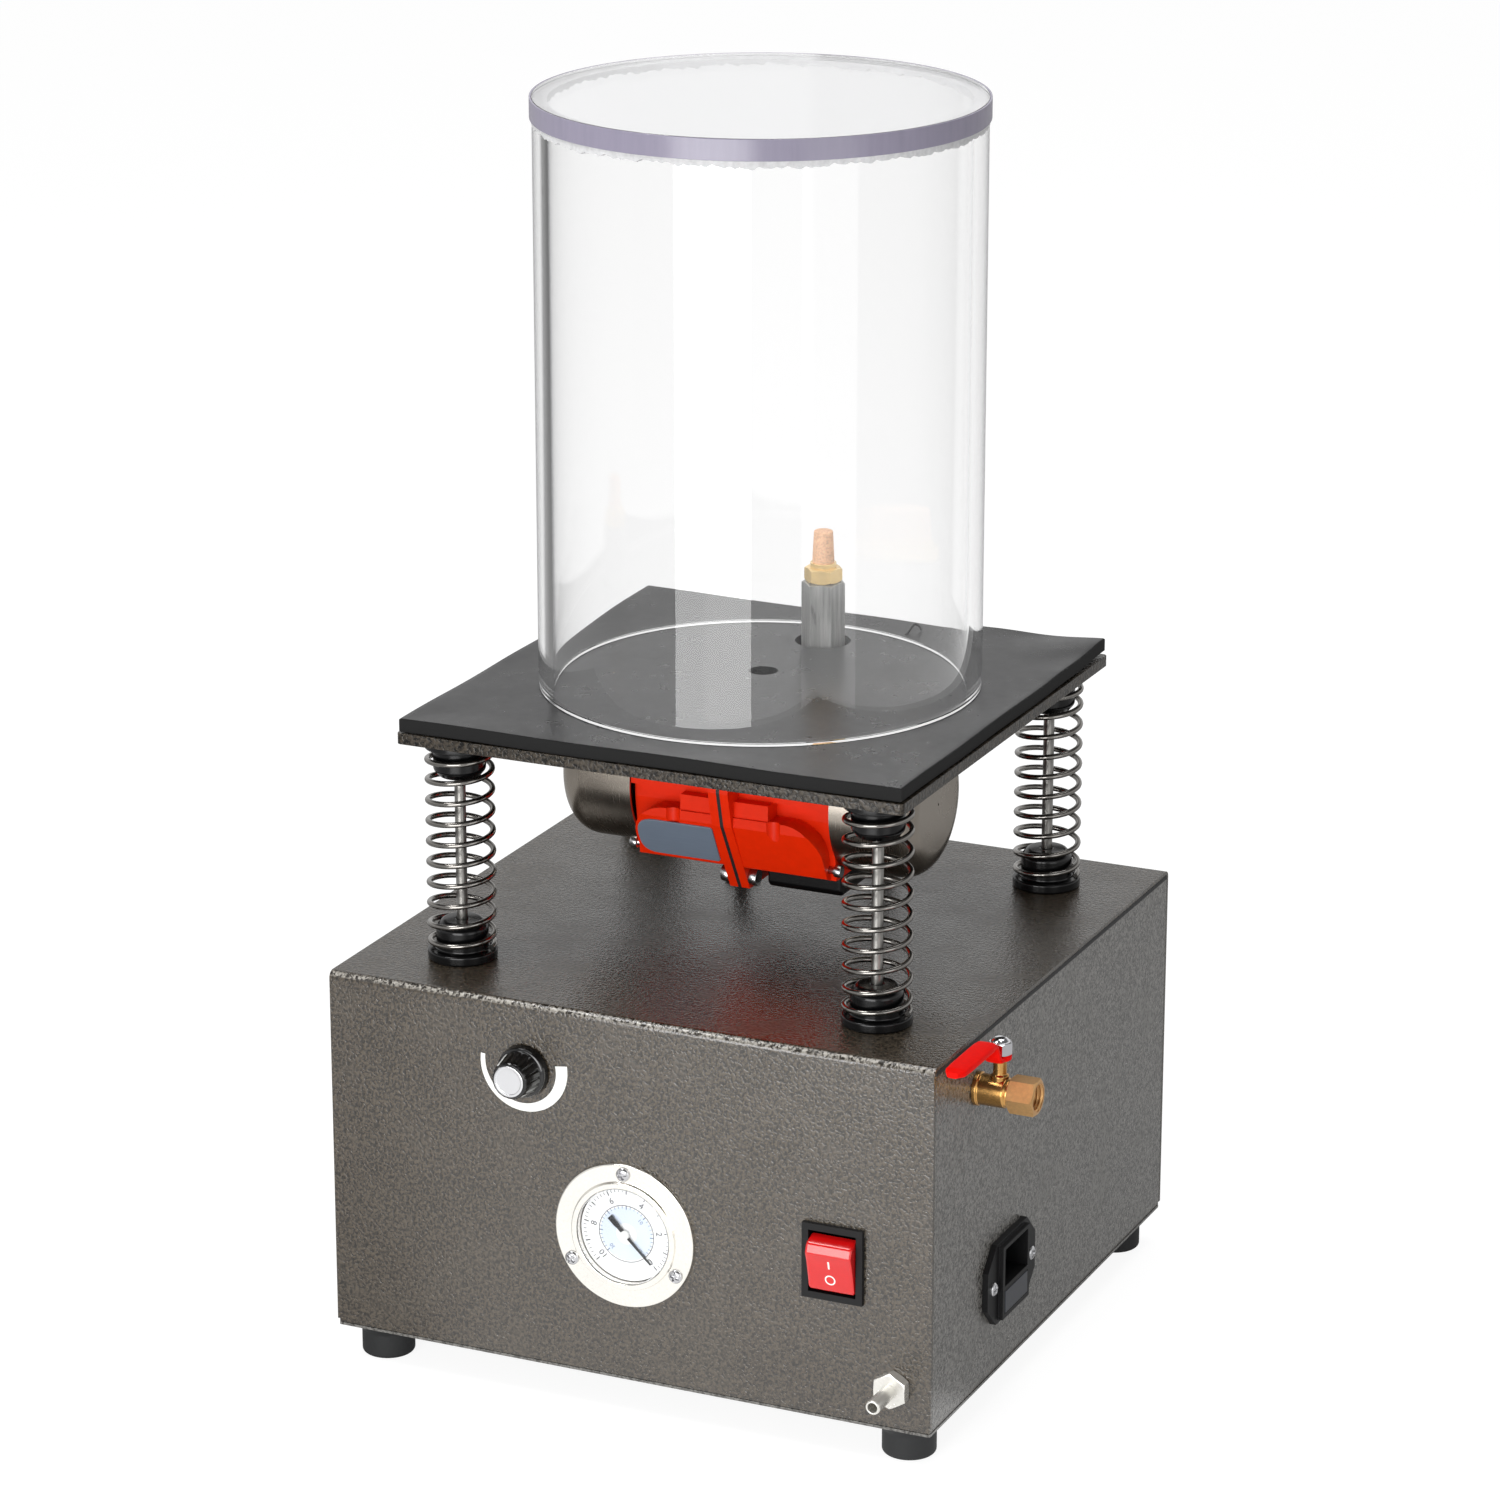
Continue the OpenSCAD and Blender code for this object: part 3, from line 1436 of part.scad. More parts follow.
// Vacuum pump
module pump_casing() {
    color(dark_steel) translate([pump_x, pump_y, pump_z]) difference() {
        union() {
            rod_x(pump_d, 0, pump_l);
            for (x = [pump_saddle_l / 2, pump_l - 1.5 * pump_saddle_l])
                translate([x, -pump_saddle_w / 2, base_top - pump_z])
                    cube([pump_saddle_l, pump_saddle_w, pump_axis_h]);
        }
        rod_x(pump_d - 2 * pump_wall, pump_l - pump_stator_d / 3, pump_l);
        rod_x(pump_stator_d, pump_wall * 2, pump_l);
        rod_x(pump_shaft_d + 2 * running_gap, -over, pump_l);
    }
}

module pump_head() {
    port_z = pump_z + pump_head_up;
    color(cast_aluminium) difference() {
        union() {
            translate([head_x, pump_y - pump_head_w / 2, pump_z - pump_head_down])
                cube([pump_head_l, pump_head_w, pump_head_up + pump_head_down]);
            for (s = [-1, 1]) translate([head_x + pump_head_l / 2, pump_y + s * pump_port_gap / 2, port_z])
                cylinder(d = nipple_d, h = pump_port_l);
        }
        translate([0, pump_y, pump_z]) {
            rod_x(crank_room_d, head_x + 4 * pump_wall, pump_head_l - 6 * pump_wall);
            rod_x(pump_shaft_d + 2 * running_gap, head_x - over, pump_head_l - pump_wall);
        }
        for (s = [-1, 1]) translate([head_x + pump_head_l / 2, pump_y + s * pump_port_gap / 2, port_z])
            hole(barb_bore_d, pump_head_up - pump_wall);
    }
}

module pump_rotor() {
    color(dark_steel) translate([0, pump_y, pump_z]) {
        rod_x(pump_shaft_d, pump_x + over, pump_l + pump_head_l - 2 * pump_wall);
        rod_x(pump_stator_d - 2 * air_gap, pump_x + 3 * pump_wall, pump_l - pump_stator_d / 2);
        difference() {
            rod_x(crank_d, head_x + 5 * pump_wall, crank_t);
            translate([head_x, -crank_d, pump_shaft_d]) cube([pump_head_l, 2 * crank_d, crank_d]);
        }
    }
}

// Vacuum plumbing and wiring
module vacuum_manifold() {
    color(brass) translate(concat(manifold_at, base_top)) difference() {
        union() {
            cube(manifold_size);
            for (x = manifold_ports) translate([x, manifold_size[1] / 2, manifold_size[2]])
                cylinder(d = nipple_d, h = manifold_port_l);
        }
        for (x = manifold_ports) translate([x, manifold_size[1] / 2, manifold_size[2] / 2])
            cylinder(d = barb_bore_d, h = manifold_size[2]);
        translate([manifold_ports[0], manifold_size[1] / 2, manifold_size[2] / 2]) rotate([0, 90, 0])
            cylinder(d = barb_bore_d, h = manifold_ports[3] - manifold_ports[0]);
    }
}

module vacuum_hoses() {
    color(black_rubber) {
        swept_tube(gauge_hose_route, hose_d, hose_sides, [1, 0, 0]);
        swept_tube(valve_hose_route, hose_d, hose_sides, [0, 1, 0]);
        swept_tube(suction_hose_route, hose_d, hose_sides, [1, 0, 0]);
        swept_tube(exhaust_hose_route, hose_d, hose_sides, [1, 0, 0]);
    }
}

module platform_hose() {
    color(black_rubber) swept_tube(platform_hose_route, hose_d, hose_sides, [1, 0, 0]);
}

module motor_cable() {
    color(black_plastic) swept_tube(motor_cable_route, cable_d, hose_sides, [0, 0, 1]);
}

module grommet(d) {
    difference() {
        union() {
            translate([0, 0, -sheet_t]) cylinder(d = d + 2 * grommet_flange, h = sheet_t);
            cylinder(d = d + 3 * grommet_flange, h = grommet_flange_h);
            translate([0, 0, -sheet_t - grommet_flange_h])
                cylinder(d = d + 3 * grommet_flange, h = grommet_flange_h);
        }
        hole(d + 2 * fit_gap, 4 * grommet_flange_h);
    }
}

module grommets() {
    color(black_rubber) {
        translate(concat(hose_exit, cabinet_top)) grommet(hose_d);
        translate(concat(cable_exit, cabinet_top)) grommet(cable_d);
    }
}

module speed_control_board() {
    board_z = base_top + standoff_h;
    top_z = board_z + board_size[2];
    color(board_green) translate(concat(board_at, board_z)) cube(board_size);
    color(cast_aluminium) translate(concat(board_at, top_z)) cube(heatsink_size);
    far = [board_size[0], board_size[1]];
    color(signal_red) translate(concat(board_at + far - [terminal_size[0], terminal_size[1]], top_z))
        cube(terminal_size);
    color(black_plastic) translate(concat(board_at + [far[0] / 2, capacitor_d], top_z))
        cylinder(d = capacitor_d, h = capacitor_h);
    ends = [for (l = far) [standoff_inset, l - standoff_inset]];
    color(white_paint) for (x = ends[0], y = ends[1])
        translate(concat(board_at + [x, y], base_top)) cylinder(d = standoff_d, h = standoff_h);
}

cabinet_wrap();
side_panel_left();
side_panel_right();
base_plate();
rubber_feet();
cabinet_fasteners();
lower_spring_cups();
spring_front_left();
spring_front_right();
spring_back_left();
spring_back_right();
gauge_case();
gauge_dial();
gauge_lens();
gauge_movement();
switch_frame();
inlet_housing();
inlet_pins();
valve_body();
hose_barb();
potentiometer();
pump_casing();
pump_head();
vacuum_manifold();
vacuum_hoses();
speed_control_board();
grommets();
platform_hose();
motor_cable();
platform_plate();
rubber_mat();
guide_rods();
upper_spring_cups();
standpipe();
filter_fitting();
sintered_filter();
port_nipple();
motor_half_left();
motor_half_right();
motor_gasket();
motor_end_covers();
motor_bolts();
motor_stator();
motor_bearings();
terminal_box();
rotor_shaft();
eccentric_weights();
chamber_tube();
chamber_lid();
knob_body();
knob_cap();
knob_shaft();
gauge_needle();
rocker();
valve_lever();
valve_ball();
lever_nut();
fuse_drawer();
fuse();
pump_rotor();
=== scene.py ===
# %% [markdown]
# # Dressing a vacuum investing machine
# The machine takes the air out of plaster for casting: a painted steel cabinet, a platform on four springs with a
# vibration motor under it, and a clear chamber on top. The CAD model has the right sizes, so this lesson gives it
# its looks. Each surface could be pushed into shape by hand, but a formula gives the same result on every run.

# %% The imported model
import math

import bmesh
import bpy
import numpy as np
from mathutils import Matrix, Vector


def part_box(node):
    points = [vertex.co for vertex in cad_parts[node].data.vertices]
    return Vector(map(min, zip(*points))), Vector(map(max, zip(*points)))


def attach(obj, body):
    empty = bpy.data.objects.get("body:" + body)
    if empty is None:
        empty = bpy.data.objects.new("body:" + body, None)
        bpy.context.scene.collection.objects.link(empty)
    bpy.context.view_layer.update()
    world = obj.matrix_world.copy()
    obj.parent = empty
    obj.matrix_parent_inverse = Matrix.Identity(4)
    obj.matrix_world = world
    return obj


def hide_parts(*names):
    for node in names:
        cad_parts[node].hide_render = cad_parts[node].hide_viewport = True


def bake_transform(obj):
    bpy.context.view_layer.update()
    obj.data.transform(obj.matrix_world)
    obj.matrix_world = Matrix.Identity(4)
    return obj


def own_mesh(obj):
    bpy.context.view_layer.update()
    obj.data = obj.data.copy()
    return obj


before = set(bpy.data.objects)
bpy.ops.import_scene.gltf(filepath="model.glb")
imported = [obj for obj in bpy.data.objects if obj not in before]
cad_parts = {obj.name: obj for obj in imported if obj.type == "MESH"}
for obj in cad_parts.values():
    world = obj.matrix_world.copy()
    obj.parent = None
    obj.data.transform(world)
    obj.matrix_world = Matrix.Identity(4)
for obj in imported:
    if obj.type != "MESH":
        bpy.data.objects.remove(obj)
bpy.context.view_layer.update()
MM = 0.001

# %% [markdown]
# Places come from the CAD model where it has them, so the looks follow it. The boxes of its nodes are read in
# millimetres, and the place of a fitting on its panel is the middle of its box.


# %% Places from the CAD model
def span(node):
    """Lowest and highest corner of a CAD node's box, in millimetres."""
    return np.round(np.array([tuple(corner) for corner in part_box(node)]) / MM, 3)


def middle(node):
    """Middle of a CAD node's box, in millimetres."""
    return span(node).mean(0)


(_, FRONT_Y, _), (RIGHT_X, _, CABINET_TOP) = span("cabinet_wrap")
BASE_LOW, BASE_HIGH = span("base_plate")[:, 2]
PLATE_LOW = span("platform_plate")[0, 2]
(_, _, MAT_LOW), (MAT, _, MAT_HIGH) = span("rubber_mat")
TUBE_LOW, (LID_LOW, LID_HIGH) = span("chamber_tube")[0, 2], span("chamber_lid")[:, 2]
PORT = middle("standpipe")[:2]
GAUGE, KNOB = middle("gauge_movement")[[0, 2]], middle("knob_cap")[[0, 2]]
SWITCH, BARB = middle("switch_frame")[[0, 2]], middle("hose_barb")[[0, 2]]
INLET = middle("inlet_housing")[1:]
VALVE_DROP = 22.5
STEM_X, VALVE_Y, _ = middle("lever_nut")
VALVE = (VALVE_Y, CABINET_TOP - VALVE_DROP)
CAP_X, MOTOR_Z = span("motor_half_right")[1, 0], middle("motor_bearings")[2]
SPRING_X, SPRING_Y = 90.0, 89.0
CORNERS = [(x, y) for x in (-SPRING_X, SPRING_X) for y in (-SPRING_Y, SPRING_Y)]
FOOT_FLARE_R = 14.0
FOOT_X, FOOT_Y, _ = span("rubber_feet")[1] - FOOT_FLARE_R
FEET = [(x, y) for x in (-FOOT_X, FOOT_X) for y in (-FOOT_Y, FOOT_Y)]
print("gauge at", GAUGE, "knob at", KNOB, "switch at", SWITCH)

# %% [markdown]
# ## The camera
# The photograph was taken from the front right, a little above the machine, with a long lens. The place and the lens
# were worked out from the cabinet's corners and the platform's corners, so that sizes can be compared by eye.

# %% Camera
EYE = Vector((0.84151, -1.85024, 0.89138))
LOOK = Vector((-0.39595, 0.86590, -0.30567))
lens = bpy.data.cameras.new("camera")
lens.lens, lens.sensor_width, lens.clip_end = 127.01, 36.0, 60.0
camera = bpy.data.objects.new("camera", lens)
camera.location = EYE
camera.rotation_euler = LOOK.to_track_quat("-Z", "Y").to_euler()
bpy.context.scene.collection.objects.link(camera)
bpy.context.scene.camera = camera
print("camera at", tuple(round(v, 3) for v in EYE))

# %% [markdown]
# ## Surfaces from grids
# Nearly every piece is turned, rolled, bent or cut from a plate, so a ring of points that moves along a line can make
# all of them. One function joins the rings with faces, and one puts the result into Blender. Sizes are in
# millimetres, as on the drawing, until the mesh is made.


# %% Rings to meshes
def skin(grid, loop=False):
    """Joins each ring of points to the next one with quads. The first and the last ring get a flat cap, or are
    joined to each other where the rings form a loop."""
    rows, ring = grid.shape[:2]
    i, j = np.meshgrid(np.arange(rows - (not loop)), np.arange(ring), indexing="ij")
    above, beside = (i + 1) % rows, (j + 1) % ring
    quads = np.stack([i * ring + j, i * ring + beside, above * ring + beside, above * ring + j], -1)
    caps = [] if loop else [np.arange(ring)[::-1], np.arange(ring) + (rows - 1) * ring]
    return grid.reshape(-1, 3), quads.reshape(-1, 4), caps


def raw_mesh(name, skins):
    """One mesh from several skins, with millimetres made metres."""
    first = np.cumsum([0] + [len(points) for points, quads, caps in skins])
    faces = []
    for (points, quads, caps), start in zip(skins, first):
        faces += (quads + start).tolist() + [(cap + start).tolist() for cap in caps]
    mesh = bpy.data.meshes.new(name)
    mesh.from_pydata((np.concatenate([s[0] for s in skins]) * MM).tolist(), [], faces)
    return mesh


def even_normals(obj):
    """Normals that follow the larger faces, so flat walls stay flat beside a small round."""
    even = obj.modifiers.new("even", "WEIGHTED_NORMAL")
    even.mode, even.keep_sharp = "FACE_AREA", True


def piece(name, skins, finish, body, hides=(), crease=32):
    """Makes one object from several skins. Its faces are turned outwards, and edges sharper than crease degrees stay
    sharp. The piece rides on a body where one is given, and may stand for CAD nodes."""
    mesh = raw_mesh(name, skins)
    turned = bmesh.new()
    turned.from_mesh(mesh)
    bmesh.ops.remove_doubles(turned, verts=turned.verts, dist=1e-8)
    bmesh.ops.recalc_face_normals(turned, faces=turned.faces)
    turned.to_mesh(mesh)
    turned.free()
    mesh.shade_smooth()
    mesh.set_sharp_from_angle(angle=math.radians(crease))
    mesh.materials.append(finish)
    obj = bpy.data.objects.new(name, mesh)
    bpy.context.scene.collection.objects.link(obj)
    even_normals(obj)
    if body:
        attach(obj, body)
    if hides:
        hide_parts(*hides)
    print(f"{name}: {len(mesh.polygons)} faces")
    return obj


# %% [markdown]
# Real edges are never knife sharp, and a small round catches the light. A corner can be rounded with an arc, but a
# parabola that touches both legs looks the same at this size and is one short formula.


# %% Rounded lines and turned shapes
def soften(line, radius, steps=5, closed=False):
    """Rounds the corners of a line: around corner c, from a on one leg to b on the other, the point is
    (1-t)^2 a + 2 t (1-t) c + t^2 b."""
    line = np.asarray(line, float)
    back, on = np.roll(line, 1, 0) - line, np.roll(line, -1, 0) - line
    back_l, on_l = np.linalg.norm(back, axis=1), np.linalg.norm(on, axis=1)
    r = np.minimum(np.broadcast_to(radius, len(line)), 0.49 * np.minimum(back_l, on_l)).copy()
    if not closed:
        r[[0, -1]] = 0
    a, b = line + back * (r / back_l)[:, None], line + on * (r / on_l)[:, None]
    t = np.linspace(0, 1, steps)[None, :, None]
    curve = (1 - t) ** 2 * a[:, None] + 2 * t * (1 - t) * line[:, None] + t**2 * b[:, None]
    curve = curve.reshape(-1, line.shape[1])
    fresh = np.linalg.norm(np.diff(curve, axis=0), axis=1) > 1e-6
    return curve[np.concatenate([[True], fresh])]


def lathe(profile, steps=96):
    """Turns a profile of (radius, height) points round the Z axis: x = r cos a, y = r sin a, z = height."""
    r, z = np.asarray(profile, float).T
    a = np.linspace(0, 2 * np.pi, steps, endpoint=False)
    return np.stack([np.outer(r, np.cos(a)), np.outer(r, np.sin(a)), np.outer(z, np.ones(steps))], -1)


END_SHARE = 0.965


def hex_bar(flats, low, high, bore=0.0, steps=120):
    """A hexagon bar with turned corners. Its radius is half the flats over the cosine of the angle to the nearest
    flat, and each end is cut back at 30 degrees to a circle that is END_SHARE of the flats wide."""
    a = np.linspace(0, 2 * np.pi, steps, endpoint=False)
    side = flats / 2 / np.cos(np.mod(a, np.pi / 3) - np.pi / 6)
    circle = np.full(steps, END_SHARE * flats / 2)
    cut = (side - circle) * np.tan(np.pi / 6)
    rows = [(circle, np.full(steps, low)), (side, low + cut), (side, high - cut), (circle, np.full(steps, high))]
    if bore:
        hole = np.full(steps, bore / 2)
        rows = [(hole, np.full(steps, low))] + rows + [(hole, np.full(steps, high))]
    return np.stack([np.stack([r * np.cos(a), r * np.sin(a), z], -1) for r, z in rows])


# %% [markdown]
# Hoses and the motor cable follow a list of points. A spline through the points gives the smooth bends of rubber, and
# a circle that is carried along it, always square to the path, gives the tube.


# %% Paths and plates
def trail(points, steps=10):
    """A Catmull-Rom curve through the points: between p1 and p2, half of
    2 p1 + (p2-p0) t + (2 p0 - 5 p1 + 4 p2 - p3) t^2 + (3 p1 - p0 - 3 p2 + p3) t^3."""
    p = np.asarray(points, float)
    q = np.concatenate([[2 * p[0] - p[1]], p, [2 * p[-1] - p[-2]]])
    p0, p1, p2, p3 = (q[k:len(q) - 3 + k, None] for k in range(4))
    t = np.linspace(0, 1, steps, endpoint=False)[None, :, None]
    curve = 2 * p1 + (p2 - p0) * t + (2 * p0 - 5 * p1 + 4 * p2 - p3) * t**2 + (3 * p1 - p0 - 3 * p2 + p3) * t**3
    return np.concatenate([curve.reshape(-1, p.shape[1]) / 2, p[-1:]])


def tube(path, radius, sides=14, hint=(0.0, 0.0, 1.0)):
    """Carries a circle along a path: point + radius (n cos a + b sin a), with n and b square to the path."""
    way = np.gradient(path, axis=0)
    way /= np.linalg.norm(way, axis=1)[:, None]
    b = np.cross(way, np.asarray(hint, float))
    b /= np.linalg.norm(b, axis=1)[:, None]
    n = np.cross(b, way)
    a = np.linspace(0, 2 * np.pi, sides, endpoint=False)[None, :, None]
    return path[:, None] + radius * (np.cos(a) * n[:, None] + np.sin(a) * b[:, None])


def slab(outline, low, high, edge=0.0):
    """A flat plate of any outline between two heights; its upper edge is a quarter round of radius edge, made by
    moving the outline inwards along its normals."""
    outline = np.asarray(outline, float)
    along = np.roll(outline, -1, 0) - np.roll(outline, 1, 0)
    inward = np.stack([-along[:, 1], along[:, 0]], -1) / np.linalg.norm(along, axis=1)[:, None]
    a = np.linspace(0, np.pi / 2, 5)
    inset = np.concatenate([[0], edge * (1 - np.cos(a))])
    height = np.concatenate([[low], high - edge + edge * np.sin(a)])
    flat = outline[None] + inset[:, None, None] * inward[None]
    return np.concatenate([flat, np.broadcast_to(height[:, None, None], flat.shape[:2] + (1,))], -1)


def box_outline(width, height, radius, steps=6):
    """A rectangle with rounded corners, counter-clockwise."""
    w, h = width / 2, height / 2
    return soften([(-w, -h), (w, -h), (w, h), (-w, h)], radius, steps, closed=True)


# %% [markdown]
# The front panel and the right panel carry most of the fittings. A fitting is drawn lying flat, with its height along
# Z, and these two functions stand it on its panel.


# %% Places on the panels
def front(shape, x, z):
    """Stands a shape on the front panel: x stays, y becomes height, and its own height points to -Y."""
    return np.stack([x + shape[..., 0], FRONT_Y - shape[..., 2], z + shape[..., 1]], -1)


def right(shape, y, z):
    """Stands a shape on the right panel: its own height points to +X, x becomes depth and y height."""
    return np.stack([RIGHT_X + shape[..., 2], y + shape[..., 0], z + shape[..., 1]], -1)


def moved(shape, x=0.0, y=0.0, z=0.0):
    """The shape at another place."""
    return shape + np.array([x, y, z])


# %% [markdown]
# ## Finishes
# Colours are written as they look on a screen, from 0 to 255, and turned into the linear values that Blender uses.
# Most surfaces here are plain at first sight, but none is one flat colour: paint has specks, metal has drawing lines,
# rubber has dull patches. One node group gives all of these and is placed in each finish with its own values.


# %% The grain group
def linear(red, green, blue):
    """Screen colour to linear light, by the usual curve: ((c + 0.055) / 1.055) ^ 2.4 above 0.04."""
    c = np.array([red, green, blue]) / 255.0
    return (*np.where(c <= 0.04045, c / 12.92, ((c + 0.055) / 1.055) ** 2.4), 1.0)


def add(tree, kind, settings=None, **sockets):
    """Adds a node; a keyword is an input's name, with _ for a space, and its value is a constant or a socket."""
    node = tree.nodes.new("ShaderNode" + kind)
    for key, value in (settings or {}).items():
        setattr(node, key, value)
    for key, value in sockets.items():
        socket = node.inputs[int(key[1:]) if key[0] == "i" and key[1:].isdigit() else key.replace("_", " ")]
        if isinstance(value, bpy.types.NodeSocket):
            tree.links.new(value, socket)
        else:
            socket.default_value = value
    return node


def calc(tree, operation, *values):
    """The result of a Math node with up to three values."""
    return add(tree, "Math", {"operation": operation}, **{f"i{k}": v for k, v in enumerate(values)}).outputs[0]


def remap(tree, value, low, high, to_low=0.0, to_high=1.0):
    """The value, carried from the range low to high into another one and kept inside it."""
    return add(tree, "MapRange", Value=value, From_Min=low, From_Max=high, To_Min=to_low, To_Max=to_high).outputs[0]


def mix_value(tree, share, first, second):
    """A number between two others."""
    return add(tree, "Mix", {"data_type": "FLOAT"}, i0=share, i2=first, i3=second).outputs[0]


def mix_colour(tree, share, first, second):
    """A colour between two others."""
    return add(tree, "Mix", {"data_type": "RGBA"}, i0=share, i6=first, i7=second).outputs[2]


def new_group(name, inputs, outputs):
    """An empty node group with named inputs (name, kind, value) and outputs (name, kind)."""
    tree = bpy.data.node_groups.new(name, "ShaderNodeTree")
    for label, kind, value in inputs:
        tree.interface.new_socket(label, in_out="INPUT", socket_type="NodeSocket" + kind).default_value = value
    for label, kind in outputs:
        tree.interface.new_socket(label, in_out="OUTPUT", socket_type="NodeSocket" + kind)
    return tree, tree.nodes.new("NodeGroupInput").outputs, tree.nodes.new("NodeGroupOutput").inputs


grain, given, result = new_group(
    "surface_grain",
    [("Colour", "Color", (0.5, 0.5, 0.5, 1)), ("Tint", "Float", 0.1), ("Roughness", "Float", 0.4),
     ("Spread", "Float", 0.1), ("Scale", "Float", 300.0), ("Stretch", "Vector", (1, 1, 1))],
    [("Colour", "Color"), ("Roughness", "Float"), ("Height", "Float")],
)
place = add(grain, "TexCoord").outputs["Object"]
drawn = add(grain, "VectorMath", {"operation": "MULTIPLY"}, i0=place, i1=given["Stretch"]).outputs[0]
fine = add(grain, "TexNoise", Vector=drawn, Scale=given["Scale"], Detail=4.0, Roughness=0.6).outputs["Fac"]
patch = add(grain, "TexNoise", Vector=place, Scale=38.0, Detail=3.0, Roughness=0.55).outputs["Fac"]
both = mix_value(grain, 0.4, fine, patch)
low = calc(grain, "SUBTRACT", 1.0, given["Tint"])
high = calc(grain, "ADD", 1.0, given["Tint"])
shade = remap(grain, both, 0.32, 0.68, low, high)
tinted = add(grain, "VectorMath", {"operation": "SCALE"}, i0=given["Colour"], Scale=shade).outputs[0]
swing = calc(grain, "MULTIPLY_ADD", both, given["Spread"], given["Roughness"])
half = calc(grain, "MULTIPLY", given["Spread"], 0.5)
centred = calc(grain, "SUBTRACT", swing, half)
grain.links.new(tinted, result["Colour"])
grain.links.new(centred, result["Roughness"])
grain.links.new(fine, result["Height"])


def finish(name, colour, roughness, metallic=0.0, tint=0.08, spread=0.12, scale=420.0, stretch=(1, 1, 1), bump=0.0,
           coat=0.0, coat_roughness=0.06, specular=0.5):
    """A material with the grain group on its colour and roughness, and on its bump where bump, in mm, is given."""
    made = bpy.data.materials.new(name)
    made.use_nodes = True
    tree = made.node_tree
    shader = tree.nodes["Principled BSDF"]
    for label, value in (("Metallic", metallic), ("Coat Weight", coat), ("Coat Roughness", coat_roughness),
                         ("Specular IOR Level", specular)):
        shader.inputs[label].default_value = value
    grained = add(tree, "Group", {"node_tree": grain}, Colour=linear(*colour), Tint=tint, Roughness=roughness,
                  Spread=spread, Scale=scale, Stretch=stretch)
    tree.links.new(grained.outputs["Colour"], shader.inputs["Base Color"])
    tree.links.new(grained.outputs["Roughness"], shader.inputs["Roughness"])
    if bump:
        raised = add(tree, "Bump", Height=grained.outputs["Height"], Distance=bump * MM, Strength=1.0)
        tree.links.new(raised.outputs["Normal"], shader.inputs["Normal"])
    return made


print("group:", grain.name)

# %% [markdown]
# ## Hammered paint
# The cabinet and the platform have the brown-grey hammered paint of workshop machines: fine wormlike ripples with
# light tops and dark valleys, under a gloss. A photograph of paint would repeat and stretch. Noise, taken at the size
# of the ripples and squeezed to the middle of its range, never repeats and also gives the bump.

# %% The ripple group
ripple, given, result = new_group(
    "hammer_ripple",
    [("Scale", "Float", 600.0), ("Valley", "Color", (0.02, 0.02, 0.02, 1)), ("Top", "Color", (0.1, 0.1, 0.1, 1))],
    [("Colour", "Color"), ("Roughness", "Float"), ("Height", "Float")],
)
place = add(ripple, "TexCoord").outputs["Object"]
worm = add(ripple, "TexNoise", Vector=place, Scale=given["Scale"], Detail=1.5, Roughness=0.5,
           Distortion=0.6).outputs["Fac"]
cloud = add(ripple, "TexNoise", Vector=place, Scale=45.0, Detail=3.0).outputs["Fac"]
squeezed = add(ripple, "MapRange", {"interpolation_type": "SMOOTHSTEP"}, Value=worm, From_Min=0.3,
               From_Max=0.7).outputs[0]
drift = remap(ripple, cloud, 0.3, 0.7, -0.04, 0.04)
share = add(ripple, "Math", {"operation": "ADD", "use_clamp": True}, i0=squeezed, i1=drift).outputs[0]
mixed = mix_colour(ripple, share, given["Valley"], given["Top"])
satin = remap(ripple, cloud, 0.3, 0.7, 0.2, 0.3)
ripple.links.new(mixed, result["Colour"])
ripple.links.new(satin, result["Roughness"])
ripple.links.new(squeezed, result["Height"])


def hammered(name, valley, top, scale, bump, specular):
    """Hammered paint with the ripple group on its colour, roughness and bump, which is given in mm."""
    made = bpy.data.materials.new(name)
    made.use_nodes = True
    tree = made.node_tree
    shader = tree.nodes["Principled BSDF"]
    worms = add(tree, "Group", {"node_tree": ripple}, Scale=scale, Valley=linear(*valley), Top=linear(*top))
    tree.links.new(worms.outputs["Colour"], shader.inputs["Base Color"])
    tree.links.new(worms.outputs["Roughness"], shader.inputs["Roughness"])
    raised = add(tree, "Bump", Height=worms.outputs["Height"], Distance=bump * MM, Strength=1.0)
    tree.links.new(raised.outputs["Normal"], shader.inputs["Normal"])
    shader.inputs["Specular IOR Level"].default_value = specular
    return made


paint = hammered("hammered_paint", (30, 25, 18), (79, 70, 58), 780.0, 0.085, 1.0)
# The side panels have a flatter coat; their lighter, greyer colour is painted light for the right side. The rim under
# the panels uses it too.
side_paint_with_painted_light = hammered("side_paint_with_painted_light", (62, 60, 57), (120, 118, 114), 780.0, 0.07, 0.7)
# The platform's paint is a darker copy of the cabinet's: painted shade for the plate's edge under the mat.
plate_paint_with_painted_shade = hammered("plate_paint_with_painted_shade", (8, 7, 5), (66, 59, 50), 640.0, 0.1, 0.35)
print("group:", ripple.name)

# %% [markdown]
# Along the bends of the cabinet's sheet a painted highlight lightens the tops of the ripples: a line of light specks.
# The bend is a round of 3 mm, and |y| + z is largest on its middle, so that sum finds the line.

# %% Painted highlight on the bends
BEND_R = 3.0
BEND_SUM = CABINET_TOP - FRONT_Y - (2 - math.sqrt(2)) * BEND_R
tree = paint.node_tree
shader = tree.nodes["Principled BSDF"]
worms = shader.inputs["Base Color"].links[0].from_node
spot = add(tree, "SeparateXYZ", Vector=add(tree, "TexCoord").outputs["Object"]).outputs
depth = calc(tree, "ABSOLUTE", spot["Y"])
height = calc(tree, "ADD", depth, spot["Z"])
line = remap(tree, height, (BEND_SUM - 0.5) * MM, (BEND_SUM + 0.1) * MM)
tops = remap(tree, worms.outputs["Height"], 0.2, 0.9)
highlighted = calc(tree, "MULTIPLY", line, tops)
